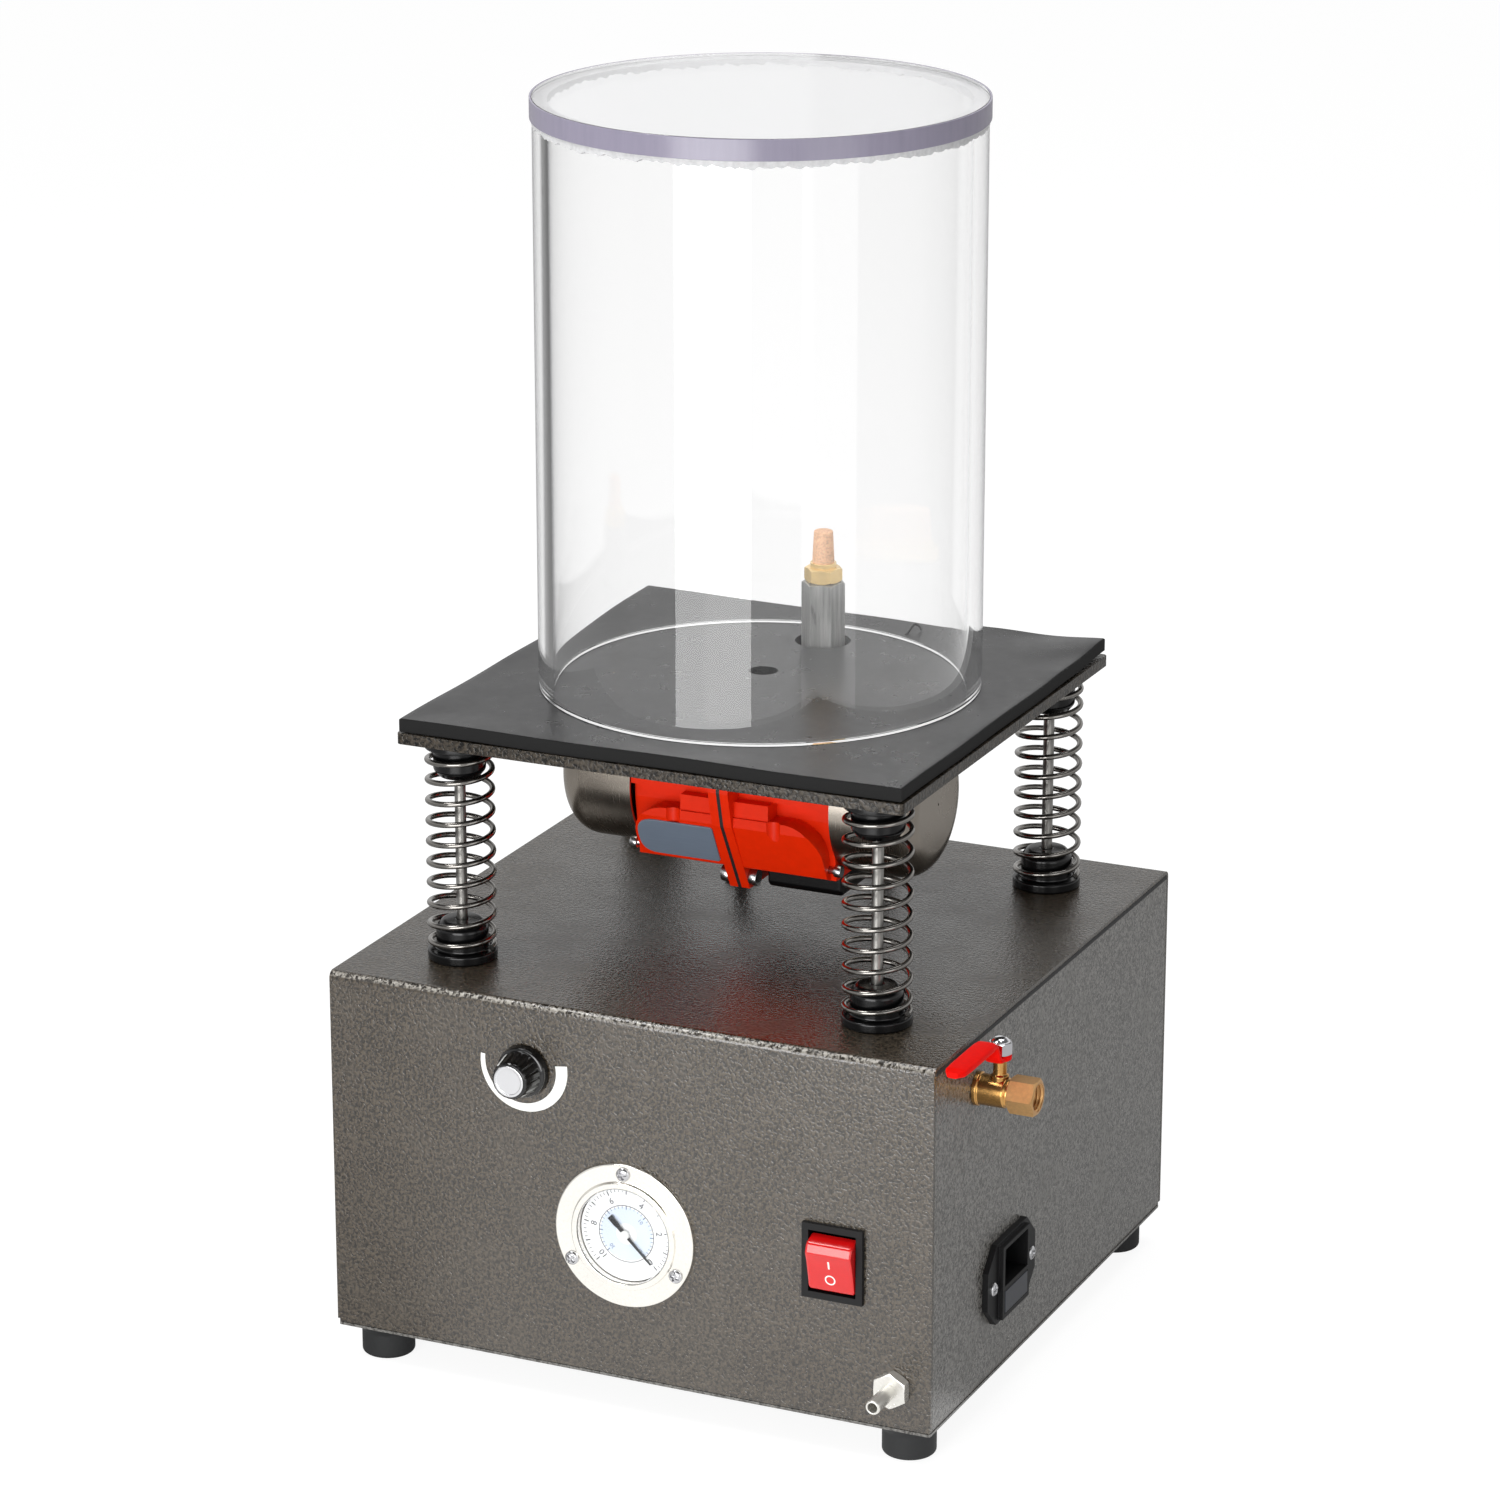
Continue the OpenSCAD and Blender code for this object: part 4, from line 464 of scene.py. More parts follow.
# Painted highlight: a light grey on the ripple tops along the bend's middle, in place of a lamp's reflection.
paint_with_highlight = mix_colour(tree, highlighted, worms.outputs["Colour"], linear(186, 182, 174))
tree.links.new(paint_with_highlight, shader.inputs["Base Color"])
print("rubbed bends on", paint.name)

# %% [markdown]
# ## The other finishes
# Each line is one finish of the real machine. Turned and drawn metals get their fine lines by stretching the grain:
# a pattern that is fine along one axis and long along the others looks like marks of a tool.

# %% Metals, rubber and plastics
mat_rubber = finish("mat_rubber", (30, 30, 31), 0.3, tint=0.3, spread=0.25, scale=170, bump=0.004,
                    specular=0.38)
foot_rubber = finish("foot_rubber", (28, 29, 30), 0.72, tint=0.12, scale=700, bump=0.03)
hose_rubber = finish("hose_rubber", (30, 30, 32), 0.5, tint=0.15)
gasket_rubber = finish("gasket_rubber", (24, 24, 25), 0.6, tint=0.15)
cup_black = finish("cup_black", (10, 10, 11), 0.2, tint=0.2, spread=0.1, specular=0.35)
knob_black = finish("knob_black", (7, 7, 8), 0.14, tint=0.2, spread=0.1, coat=0.25, coat_roughness=0.04)
frame_black = finish("frame_black", (15, 15, 16), 0.5, tint=0.12, scale=1500, bump=0.02, specular=0.25)
drawer_black = finish("drawer_black", (30, 34, 44), 0.32, tint=0.1)
rocker_red = finish("rocker_red", (206, 16, 17), 0.16, tint=0.05, spread=0.06, coat=0.65, coat_roughness=0.04,
                    specular=0.4)
grip_red = finish("grip_red", (232, 15, 8), 0.45, tint=0.07, scale=600, bump=0.02, specular=0.04)
motor_red = finish("motor_red", (222, 40, 3), 0.42, tint=0.06, scale=260, bump=0.05, specular=0.12)
spring_wire = finish("spring_wire", (134, 131, 127), 0.18, 1.0, tint=0.14, scale=900)
rod_steel = finish("rod_steel", (160, 158, 154), 0.3, 1.0, tint=0.12, stretch=(1, 1, 0.05), scale=1600)
cover_steel = finish("cover_steel", (160, 152, 142), 0.26, 1.0, tint=0.06, spread=0.16, scale=2200,
                     stretch=(1, 0.03, 0.03))
bolt_steel = finish("bolt_steel", (196, 196, 198), 0.24, 1.0, tint=0.1, scale=1200)
nut_chrome = finish("nut_chrome", (225, 225, 228), 0.1, 1.0, tint=0.05, spread=0.06)
gauge_nickel = finish("gauge_nickel", (241, 238, 231), 0.2, 1.0, tint=0.06, spread=0.1, scale=900)
cap_silver = finish("cap_silver", (214, 214, 216), 0.26, 1.0, tint=0.05, scale=1800, stretch=(0.06, 1, 1))
dial_white = finish("dial_white", (250, 251, 253), 0.5, tint=0.02)
dial_ink = finish("dial_ink", (58, 60, 66), 0.5, tint=0.05)
dial_blue = finish("dial_blue", (96, 120, 158), 0.5, tint=0.05)
dial_pale = finish("dial_pale", (222, 233, 248), 0.5, tint=0.06, scale=2500)
rim_lavender = finish("rim_lavender", (144, 139, 157), 0.24, tint=0.07, spread=0.1, scale=300,
                      stretch=(1, 1, 0.1))
print_white = finish("print_white", (236, 236, 232), 0.45, tint=0.03)
plate_grey = finish("plate_grey", (116, 128, 144), 0.36, 0.2, tint=0.06, scale=1600, stretch=(0.05, 1, 1))
valve_brass = finish("valve_brass", (188, 143, 84), 0.24, 1.0, tint=0.16, spread=0.16, scale=600)
nut_brass = finish("nut_brass", (212, 166, 110), 0.34, 0.8, tint=0.14, spread=0.1, scale=700, bump=0.01)
fitting_brass = finish("fitting_brass", (240, 208, 146), 0.25, 0.45, tint=0.2, spread=0.1, scale=500)
barb_steel = finish("barb_steel", (222, 220, 214), 0.26, 0.7, tint=0.1, scale=900, stretch=(1, 0.06, 1))
filter_bronze = finish("filter_bronze", (236, 190, 154), 0.6, 0.1, tint=0.4, scale=1100, bump=0.2)
pipe_zinc = finish("pipe_zinc", (164, 164, 162), 0.3, 0.5, tint=0.5, spread=0.2, scale=700,
                   stretch=(1, 1, 0.06))
pump_grey = finish("pump_grey", (120, 122, 124), 0.45, 0.6, tint=0.1, bump=0.03)
pump_cast = finish("pump_cast", (178, 178, 176), 0.45, 0.8, tint=0.1, bump=0.05)
winding_copper = finish("winding_copper", (186, 104, 62), 0.35, 1.0, tint=0.15, scale=1500)
board_green = finish("board_green", (34, 92, 54), 0.4, tint=0.1)
fuse_white = finish("fuse_white", (224, 226, 228), 0.15, tint=0.04)
print("finishes:", len(bpy.data.materials))

# %% [markdown]
# The cut edge of the rubber mat gets painted shade, a darker colour, and a duller finish than its face. Its place is
# known, so the larger of the sideways distances, compared with the mat's half width, is enough to find it.

# %% Painted shade and a duller finish on the mat's edge
EDGE_FROM, EDGE_FULL = MAT - 0.8, MAT - 0.2
tree = mat_rubber.node_tree
shader = tree.nodes["Principled BSDF"]
face_colour = shader.inputs["Base Color"].links[0].from_socket
spot = add(tree, "TexCoord").outputs["Object"]
apart = add(tree, "VectorMath", {"operation": "ABSOLUTE"}, i0=spot).outputs[0]
parts = add(tree, "SeparateXYZ", Vector=apart).outputs
reach = calc(tree, "MAXIMUM", parts["X"], parts["Y"])
edge_shade_and_dull = remap(tree, reach, EDGE_FROM * MM, EDGE_FULL * MM)
# Painted shade: the edge's colour is darkened to near black.
tinted = mix_colour(tree, edge_shade_and_dull, face_colour, linear(12, 12, 12))
tree.links.new(tinted, shader.inputs["Base Color"])
satin = shader.inputs["Roughness"].links[0].from_socket
rough = mix_value(tree, edge_shade_and_dull, satin, 0.85)
tree.links.new(rough, shader.inputs["Roughness"])
print("mat edge starts at", EDGE_FROM, "mm")

# %% [markdown]
# ## Clear plastic
# The chamber and the gauge's window are clear. Glass shaders need walls with a real thickness, which the CAD sizes
# give. Looking along a wall, the eye meets much more plastic than looking through it, so the edges of acrylic are
# darker and slightly lavender: Layer Weight finds those places. Light for the things behind the plastic passes
# straight through, because shadow rays meet a low alpha. Faint smudges come from the grain group.


# %% Acrylic and glue
def clear(name, edge, edge_from, roughness=0.012, spread=0.02):
    """Clear plastic of index 1.49: white when seen square, the edge colour when seen along the surface."""
    made = bpy.data.materials.new(name)
    made.use_nodes = True
    tree = made.node_tree
    shader = tree.nodes["Principled BSDF"]
    shader.inputs["Transmission Weight"].default_value = 1.0
    shader.inputs["IOR"].default_value = 1.49
    along = add(tree, "LayerWeight", Blend=0.5).outputs["Facing"]
    share = remap(tree, along, edge_from, 1.0)
    tinted = mix_colour(tree, share, (1, 1, 1, 1), linear(*edge))
    tree.links.new(tinted, shader.inputs["Base Color"])
    shadow = add(tree, "LightPath").outputs["Is Shadow Ray"]
    thin = calc(tree, "MULTIPLY_ADD", shadow, -0.92, 1.0)
    tree.links.new(thin, shader.inputs["Alpha"])
    smudge = add(tree, "Group", {"node_tree": grain}, Tint=0.0, Roughness=roughness, Spread=spread, Scale=60.0)
    tree.links.new(smudge.outputs["Roughness"], shader.inputs["Roughness"])
    return made


tube_clear = clear("tube_clear", (176, 176, 186), 0.8)
lid_clear = clear("lid_clear", (240, 240, 243), 0.3, 0.03, 0.03)
window_clear = clear("window_clear", (230, 230, 234), 0.8)
glue_white = finish("glue_white", (208, 208, 209), 0.6, tint=0.2, scale=500, bump=0.04)
print("clear finishes:", tube_clear.name, lid_clear.name, window_clear.name)


# %% [markdown]
# ## CAD pieces that keep their shape
# The cabinet's sheets, the cast motor halves and the pieces inside already have the right shape. They keep their CAD
# mesh and get a finish. The CAD edges are perfectly sharp, so a Bevel modifier takes a little off them; the corners
# of the loose CAD triangles are welded first, and flat areas are joined, or each triangle would be bevelled.


# %% Dress the CAD nodes
def dress(names, material, edge=0.0, segments=2):
    """Gives CAD nodes a finish, and rounds their edges by edge millimetres."""
    for name in names.split():
        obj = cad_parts[name]
        if not obj.material_slots:
            obj.data.materials.append(material)
        for used in obj.material_slots:
            used.material = material
        if edge:
            obj.modifiers.new("weld", "WELD").merge_threshold = 0.00001
            flat = obj.modifiers.new("flat", "DECIMATE")
            flat.decimate_type, flat.angle_limit = "DISSOLVE", math.radians(1)
            bevel = obj.modifiers.new("edge", "BEVEL")
            bevel.width, bevel.segments, bevel.limit_method = edge * MM, segments, "ANGLE"
            bevel.angle_limit, bevel.harden_normals = math.radians(35), True


dress("cabinet_wrap base_plate", paint, 0.25)
dress("side_panel_left side_panel_right", side_paint_with_painted_light, 0.25)
dress("platform_plate", plate_paint_with_painted_shade, 0.5)
dress("motor_half_left motor_half_right", motor_red, 1.1, 3)
dress("motor_gasket", gasket_rubber)
dress("motor_bolts", bolt_steel, 0.4)
dress("terminal_box", cup_black, 1.2, 3)
dress("guide_rods", rod_steel)
dress("switch_frame", frame_black, 0.5)
dress("inlet_housing", frame_black, 0.5)
dress("inlet_pins knob_shaft rotor_shaft eccentric_weights motor_bearings valve_ball", bolt_steel)
dress("fuse_drawer", drawer_black, 0.4)
dress("fuse", fuse_white)
dress("gauge_movement vacuum_manifold", valve_brass)
dress("potentiometer pump_casing", pump_grey)
dress("port_nipple", pipe_zinc, 0.3)
dress("pump_head", pump_cast)
dress("pump_rotor", rod_steel)
dress("motor_stator", winding_copper)
dress("speed_control_board", board_green)
print("dressed:", sum(1 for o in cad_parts.values() if o.material_slots))

# %% [markdown]
# The top sheet lies on the side panels, and the narrow gap between them is in shade. That shade is painted: a black
# line along each side, drawn as a thin flat strip that lies on the panel just under the sheet.

# %% Painted shade in the joint under the top sheet
JOINT_L, JOINT_H, JOINT_Z = 250.0, 1.7, 163.9
# Painted shade: a black strip stands for the shaded gap of the joint.
joint_shade_right = right(slab(box_outline(JOINT_L, JOINT_H, 0.3), -0.3, 0.12), 0.0, JOINT_Z)
piece("joint_shade_strips", [skin(joint_shade_right), skin(joint_shade_right * (-1, 1, 1))], gasket_rubber, "cabinet")

# %% [markdown]
# The rim of the base plate is folded down and shows as a narrow strip under the panels. It is a frame with a square
# section, drawn as four outlines that are joined in a loop.

# %% Strip under the panels
LIP_IN, LIP_OUT, LIP_LOW, LIP_HIGH = 256.6, 259.2, 14.2, 15.3
WIDE_OVER_DEEP = 2 * (RIGHT_X + FRONT_Y)


def lip_ring(wide, z):
    """Outline of the rim at one height. The cabinet is a little wider than it is deep."""
    outline = box_outline(wide, wide - WIDE_OVER_DEEP, 0.8)
    return np.concatenate([outline, np.full((len(outline), 1), z)], -1)


lip = np.stack([lip_ring(LIP_IN, LIP_LOW), lip_ring(LIP_OUT, LIP_LOW), lip_ring(LIP_OUT, LIP_HIGH),
                lip_ring(LIP_IN, LIP_HIGH)])
piece("base_lip", [skin(lip, True)], side_paint_with_painted_light, "cabinet")

# %% [markdown]
# ## Springs
# Four coil springs carry the platform. Blender has a Screw modifier, but a real compression spring has closed turns
# at both ends and an even pitch between them, so the wire's path is worked out here: the pitch is added up along
# the turns.

# %% Spring wire
TURNS, WIRE, COIL, STEPS_A_TURN = 10.5, 2.3, 28.0, 56
SPRING_FOOT, SPRING_L, END_PITCH, SPRING_PRESS = 170.6, 83.8, 3.2, 8.0
CLOSED_TURNS, OPENING_TURNS = 0.4, 0.8
u = np.linspace(0, TURNS, int(TURNS * STEPS_A_TURN) + 1)
loosen = np.clip((np.minimum(u, TURNS - u) - CLOSED_TURNS) / OPENING_TURNS, 0, 1)
step = (loosen[1:] + loosen[:-1]) / 2 * (u[1] - u[0])
open_pitch = (SPRING_L - WIRE - END_PITCH * TURNS) / step.sum()
climb = END_PITCH * u + open_pitch * np.concatenate([[0], np.cumsum(step)])
coil_r = (COIL - WIRE) / 2
coil = np.stack([coil_r * np.cos(2 * np.pi * u), coil_r * np.sin(2 * np.pi * u), climb + WIRE / 2], -1)
spring_skin = tube(coil, WIRE / 2, 12)
for side, x in (("left", -SPRING_X), ("right", SPRING_X)):
    for end, y in (("front", -SPRING_Y), ("back", SPRING_Y)):
        wire = piece(f"spring_wire_{end}_{side}", [skin(moved(spring_skin, x, y, SPRING_FOOT))], spring_wire,
                     "cabinet", [f"spring_{end}_{side}"])
        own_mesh(wire)

# %% [markdown]
# ## Spring cups, feet and grommets
# Cups, feet and grommets are moulded, round and hollow, so they are turned on the lathe function from a closed
# profile. The upper cups are the lower ones upside down, without the stub that sits in the sheet.

# %% Turned rubber and plastic
ROD_HOLE_R, CUP_R, SPIGOT_R, STUB_R = 2.3, COIL / 2, 10.5, 7.0
CUP_FLANGE, SPIGOT_H, CUP_H, STUB_L = 4.0, 13.0, 16.0, 4.0
cup = [(ROD_HOLE_R, 0), (CUP_R, 0), (CUP_R, CUP_FLANGE), (SPIGOT_R, CUP_FLANGE), (SPIGOT_R, SPIGOT_H), (8, CUP_H),
       (ROD_HOLE_R, CUP_H)]
stub = [(ROD_HOLE_R, -STUB_L), (STUB_R, -STUB_L), (STUB_R, 0)]
low_cup = lathe(soften(stub + cup[1:], 0.9, closed=True), 72)
high_cup = lathe(soften(cup, 0.9, closed=True), 72) * (1, 1, -1)
piece("lower_cups", [skin(moved(low_cup, x, y, CABINET_TOP), True) for x, y in CORNERS], cup_black, "cabinet",
      ["lower_spring_cups"])
piece("upper_cups", [skin(moved(high_cup, x, y, PLATE_LOW), True) for x, y in CORNERS], cup_black, "platform",
      ["upper_spring_cups"])
FOOT_R, RECESS_R, RECESS_H, SCREW_HOLE_R = 10.75, 5.5, 5.0, 2.7
foot_section = [(RECESS_R, 0), (FOOT_R - 1, 0), (FOOT_R, 1), (FOOT_R, BASE_LOW - 5), (FOOT_FLARE_R, BASE_LOW - 1),
                (FOOT_FLARE_R, BASE_LOW), (SCREW_HOLE_R, BASE_LOW), (SCREW_HOLE_R, RECESS_H), (RECESS_R, RECESS_H)]
foot = lathe(soften(foot_section, 0.8, closed=True), 72)
piece("feet", [skin(moved(foot, x, y), True) for x, y in FEET], foot_rubber, "cabinet", ["rubber_feet"])


def grommet(bore):
    """A ring with a groove for the sheet, turned from its section."""
    r = bore / 2
    return lathe(soften([(r + 0.2, -3.5), (r + 4.5, -3.5), (r + 4.5, -1.5), (r + 3, -1.5), (r + 3, 0), (r + 4.5, 0),
                         (r + 4.5, 2), (r + 0.2, 2)], 0.7, closed=True), 48)


HOSE_R, CABLE_R = 4.0, 3.0
HOSE_HOLE, CABLE_HOLE = (14, 96), (-28, 44)
hose_ring = moved(grommet(2 * HOSE_R), *HOSE_HOLE, CABINET_TOP)
cable_ring = moved(grommet(2 * CABLE_R), *CABLE_HOLE, CABINET_TOP)
piece("sheet_grommets", [skin(hose_ring, True), skin(cable_ring, True)], hose_rubber, "cabinet",
      ["grommets"])

# %% [markdown]
# ## The rubber mat
# A square rubber mat lies on the platform and seals the chamber. Its free edges rise and fall by less than a
# millimetre, and its back right corner a little more. A sheet could be draped by simulation, but these waves are
# gentle, so they are a formula: they start outside the chamber's ring and grow towards the edges. The two holes are
# cut with a Boolean. Behind the chamber a small curl of torn rubber stands up.

# %% Mat with wavy edges
MAT_ROUND, MAT_STEPS = 0.7, 121
FLAT_HALF, FLAT_R, FLAT_BLEND = 86.0, 92.0, 16.0
MAT_HOLES = [(-5.0, 14.0, 6.0), (*PORT, 11.75)]
across = np.linspace(-MAT + MAT_ROUND, MAT - MAT_ROUND, MAT_STEPS)
edge_y = MAT_ROUND * np.array([0, 0.5, 0.85, 1, 1, 1, 0.85, 0.5, 0])
edge_z = np.array([-1, -1, -0.95, -0.87, 0, 0.87, 0.95, 1, 1])
thick = (MAT_HIGH - MAT_LOW) / 2
ring_y = np.concatenate([across, MAT - MAT_ROUND + edge_y, across[::-1], MAT_ROUND - MAT - edge_y])
ring_h = np.concatenate([0 * across - thick, thick * edge_z, 0 * across + thick, -thick * edge_z])
rows_x = np.concatenate([[-MAT], across, [MAT]])
shrink = np.concatenate([[0.9], np.ones(MAT_STEPS), [0.9]])
gx, gy = np.meshgrid(rows_x, ring_y, indexing="ij")
gh = shrink[:, None] * ring_h[None]


def mat_wave(x, y):
    """Height of the mat above flat: out times (0.2 + 0.2 sin(x/15 + 0.9) + 0.2 sin(y/13 + 2.1)), where out grows from
    0 at the chamber's ring to 1 at the edge, and a lifted, wavy corner at the back right."""
    out = np.clip((np.maximum(np.abs(x), np.abs(y)) - FLAT_HALF) / (MAT - FLAT_HALF), 0, 1) ** 1.6
    out = out * np.clip((np.hypot(x, y) - FLAT_R) / FLAT_BLEND, 0, 1)
    wave = 0.2 + 0.2 * np.sin(x / 15 + 0.9) + 0.2 * np.sin(y / 13 + 2.1)
    corner = 1.5 * np.clip((x + y - 150) / 64, 0, 1) * (1 + np.sin((x - y) / 9 + 1.2)) / 2
    return out * np.maximum(wave, 0.02) + corner


gz = gh + (MAT_LOW + MAT_HIGH) / 2 + mat_wave(gx, gy)
mat = piece("wavy_mat", [skin(np.stack([gx, gy, gz], -1))], mat_rubber, "platform", ["rubber_mat"],
            crease=50)
PLUG_LOW, PLUG_HIGH = MAT_LOW - 8, MAT_HIGH + 6.5
plug_skins = [skin(moved(lathe([(r, PLUG_LOW), (r, PLUG_HIGH)], 64), x, y)) for x, y, r in MAT_HOLES]
plugs = bpy.data.objects.new("mat_plugs", raw_mesh("mat_plugs", plug_skins))
bpy.context.scene.collection.objects.link(plugs)
cut = mat.modifiers.new("holes", "BOOLEAN")
cut.object, cut.operation = plugs, "DIFFERENCE"
holed = bpy.data.meshes.new_from_object(mat.evaluated_get(bpy.context.evaluated_depsgraph_get()))
mat.modifiers.clear()
mat.data = holed
even_normals(mat)
bpy.data.objects.remove(plugs)
print("mat faces with its holes:", len(holed.polygons))
sliver = trail([(30.5, 88.5, 268.3), (31.5, 91.0, 269.4), (33.0, 94.0, 271.4), (34.8, 95.5, 271.0),
                (36.5, 96.0, 269.0)], 6)
piece("mat_sliver", [skin(tube(sliver, 0.5, 8, (1, -1, 0)))], gasket_rubber, "platform")

# %% [markdown]
# ## The clear chamber
# A thick tube with a glued-on disc. Both are turned from their sections, with a fine round on the edges that
# gives the bright lines of polished acrylic. The disc's sawn rim is not polished: a thin ring of lavender plastic.
# The glue has run a little down the tube: a white ring whose lower edge goes up and down with sine waves of five
# lengths.

# %% Tube, glue and lid
TUBE_IN, TUBE_OUT, TUBE_HIGH = 83.0, 89.0, LID_LOW - 0.4
DISC_LOW, DISC_R, RIM_IN, RIM_OUT = LID_LOW + 0.1, 89.1, 89.15, 90.0
GLUE_LOW, GLUE_HIGH, GLUE_STEPS = LID_LOW - 2.4, LID_LOW + 0.05, 768
GLUE_WAVES = [(0.3, 7, 0), (0.3, 23, 1), (0.25, 61, 2), (0.25, 97, 0), (0.2, 157, 0.5)]
tube_section = [(TUBE_IN, TUBE_LOW), (TUBE_OUT, TUBE_LOW), (TUBE_OUT, TUBE_HIGH), (TUBE_IN, TUBE_HIGH)]
piece("chamber_wall", [skin(lathe(soften(tube_section, 0.5, 4, closed=True), 192), True)], tube_clear, "chamber",
      ["chamber_tube"])
lid = lathe(soften([(1, DISC_LOW), (DISC_R, DISC_LOW), (DISC_R, LID_HIGH), (1, LID_HIGH)], 0.3, 4), 192)
piece("chamber_top", [skin(lid)], lid_clear, "chamber", ["chamber_lid"])
rim_section = [(RIM_IN, DISC_LOW), (RIM_OUT, DISC_LOW), (RIM_OUT, LID_HIGH), (RIM_IN, LID_HIGH)]
rim = lathe(soften(rim_section, 0.35, 4, closed=True), 192)
piece("lid_rim", [skin(rim, True)], rim_lavender, "chamber")
glue_section = [(82.9, GLUE_LOW), (RIM_IN, GLUE_LOW), (RIM_IN, GLUE_HIGH), (82.9, GLUE_HIGH)]
glue = lathe(soften(glue_section, 0.2, 4, closed=True), GLUE_STEPS)
glue_a = np.linspace(0, 2 * np.pi, GLUE_STEPS, endpoint=False)
run = sum(size * np.sin(count * glue_a + shift) for size, count, shift in GLUE_WAVES)
glue[..., 2] += np.where(glue[..., 2] < (GLUE_LOW + GLUE_HIGH) / 2, run[None], 0)
piece("glue_ring", [skin(glue, True)], glue_white, "chamber")

# %% [markdown]
# ## The vacuum port
# Air leaves the chamber through a grey hexagon pipe with a brass fitting and a sintered bronze filter on top. The
# hexagons are bars with turned corners, so the curved chamfer lines come out as on real nuts.

# %% Pipe, fitting and filter
PORT_TURN = math.radians(15)
PIPE_HIGH, COLLAR_HIGH = span("standpipe")[1, 2], span("filter_fitting")[1, 2]
FILTER_HIGH = span("sintered_filter")[1, 2]
PORT_AXES = np.array([[math.cos(PORT_TURN), math.sin(PORT_TURN), 0], [-math.sin(PORT_TURN), math.cos(PORT_TURN), 0],
                      [0, 0, 1]])
pipe = hex_bar(16, MAT_LOW, PIPE_HIGH) @ PORT_AXES
piece("port_pipe", [skin(moved(pipe, *PORT))], pipe_zinc, "platform", ["standpipe"])
collar = lathe(soften([(5.5, COLLAR_HIGH - 2.5), (5.5, COLLAR_HIGH), (4.7, COLLAR_HIGH)], 0.3))
fitting = hex_bar(14, PIPE_HIGH, COLLAR_HIGH - 2) @ PORT_AXES
piece("port_fitting", [skin(moved(fitting, *PORT)), skin(moved(collar, *PORT))], fitting_brass, "platform",
      ["filter_fitting"])
filter_section = [(4.6, COLLAR_HIGH - 0.4), (4.6, COLLAR_HIGH + 2), (4.0, FILTER_HIGH - 0.2), (0.5, FILTER_HIGH)]
bronze = lathe(soften(filter_section, [0, 0.5, 0.7, 0], 6), 72)
piece("port_filter", [skin(moved(bronze, *PORT))], filter_bronze, "platform", ["sintered_filter"])

# %% [markdown]
# ## The vibration motor's covers and plate
# Two deep-drawn steel caps close the motor. A cap is a thin wall with a big round, turned about the motor's axis. The
# small plate on the left pad is left bare. It is a flat outline with one big round corner, laid on the slanted pad.

# %% Covers and plate
CAP_R, CAP_STRAIGHT, CAP_ROUND, CAP_WALL, CAP_FOOT = 31.0, 22.5, 12.0, 1.2, 0.2
CAP_IN = CAP_R - CAP_WALL
inside = CAP_ROUND - CAP_WALL
round_end = np.linspace(0, np.pi / 2, 14)


def cap_arc(radius):
    """Quarter round of the cap's section, as (radius, height) points from its side to its end."""
    return list(zip(CAP_R - CAP_ROUND + radius * np.cos(round_end), CAP_STRAIGHT + radius * np.sin(round_end)))


outer = [(CAP_R, CAP_FOOT), (CAP_R, CAP_STRAIGHT)] + cap_arc(CAP_ROUND) + [(0.5, CAP_STRAIGHT + CAP_ROUND)]
inner = [(0.5, CAP_STRAIGHT + inside)] + cap_arc(inside)[::-1] + [(CAP_IN, CAP_STRAIGHT), (CAP_IN, CAP_FOOT)]
shell = lathe(outer + inner, 128)
cap_right = np.stack([CAP_X + shell[..., 2], shell[..., 0], MOTOR_Z + shell[..., 1]], -1)
cap_left = np.stack([-CAP_X - shell[..., 2], -shell[..., 0], MOTOR_Z + shell[..., 1]], -1)
piece("motor_caps", [skin(cap_right, True), skin(cap_left, True)], cover_steel, "platform",
      ["motor_end_covers"])
plate = slab(soften([(-15.5, -9.5), (19, -9.5), (19, 9.5), (-15.5, 9.5)], [7, 1.5, 1.5, 12], 8, closed=True),
             0.05, 0.7, 0.3)
PAD_RUN, PAD_RISE = np.array([10.5, 20.0]) / math.hypot(10.5, 20.0)
lean, out = np.array([0, PAD_RUN, -PAD_RISE]), np.array([0, -PAD_RISE, -PAD_RUN])
pad_middle = np.array([-24.2, -30.75, MOTOR_Z - 19.0])
bare_plate = pad_middle + plate[..., :1] * np.array([1.0, 0, 0]) - plate[..., 1:2] * lean + plate[..., 2:] * out
piece("bare_plate", [skin(bare_plate)], plate_grey, "platform")

# %% [markdown]
# ## Screws
# The fasteners are pan-head screws with a cross slot. The slot could be cut with a Boolean, but a head is a height
# over a disc: a flat dome, minus a depth wherever the point lies inside the cross.


# %% Screw heads, shanks and nuts
BAR_HALF, BAR_END = 0.17, 0.62


def cross_head(radius, height, turn=0.4):
    """Height over a disc: h (1 - 0.55 (r/R)^4) on the dome, pressed down inside a cross of two bars, whose half width
    and half length are shares of the radius."""
    r = np.concatenate([[1.0, 1.0], np.linspace(0.97, 0.02, 26)]) * radius
    a = np.linspace(0, 2 * np.pi, 96, endpoint=False)
    x, y = np.outer(r, np.cos(a)), np.outer(r, np.sin(a))
    z = height * (1 - 0.55 * (np.hypot(x, y) / radius) ** 4)
    cx, cy = np.abs(x * math.cos(turn) + y * math.sin(turn)), np.abs(y * math.cos(turn) - x * math.sin(turn))
    bar = np.minimum(np.maximum(cx / BAR_HALF, cy / BAR_END), np.maximum(cy / BAR_HALF, cx / BAR_END)) / radius
    z -= 0.55 * height * np.clip((1.15 - bar) / 0.25, 0, 1)
    z[0] = 0.0
    return np.stack([x, y, z], -1)


def screw(radius, height, shank_r, length, turn=0.4):
    """A cross-slot head on a shank that points down."""
    return [cross_head(radius, height, turn), lathe([(shank_r, -length), (shank_r, 0.2)], 32)]


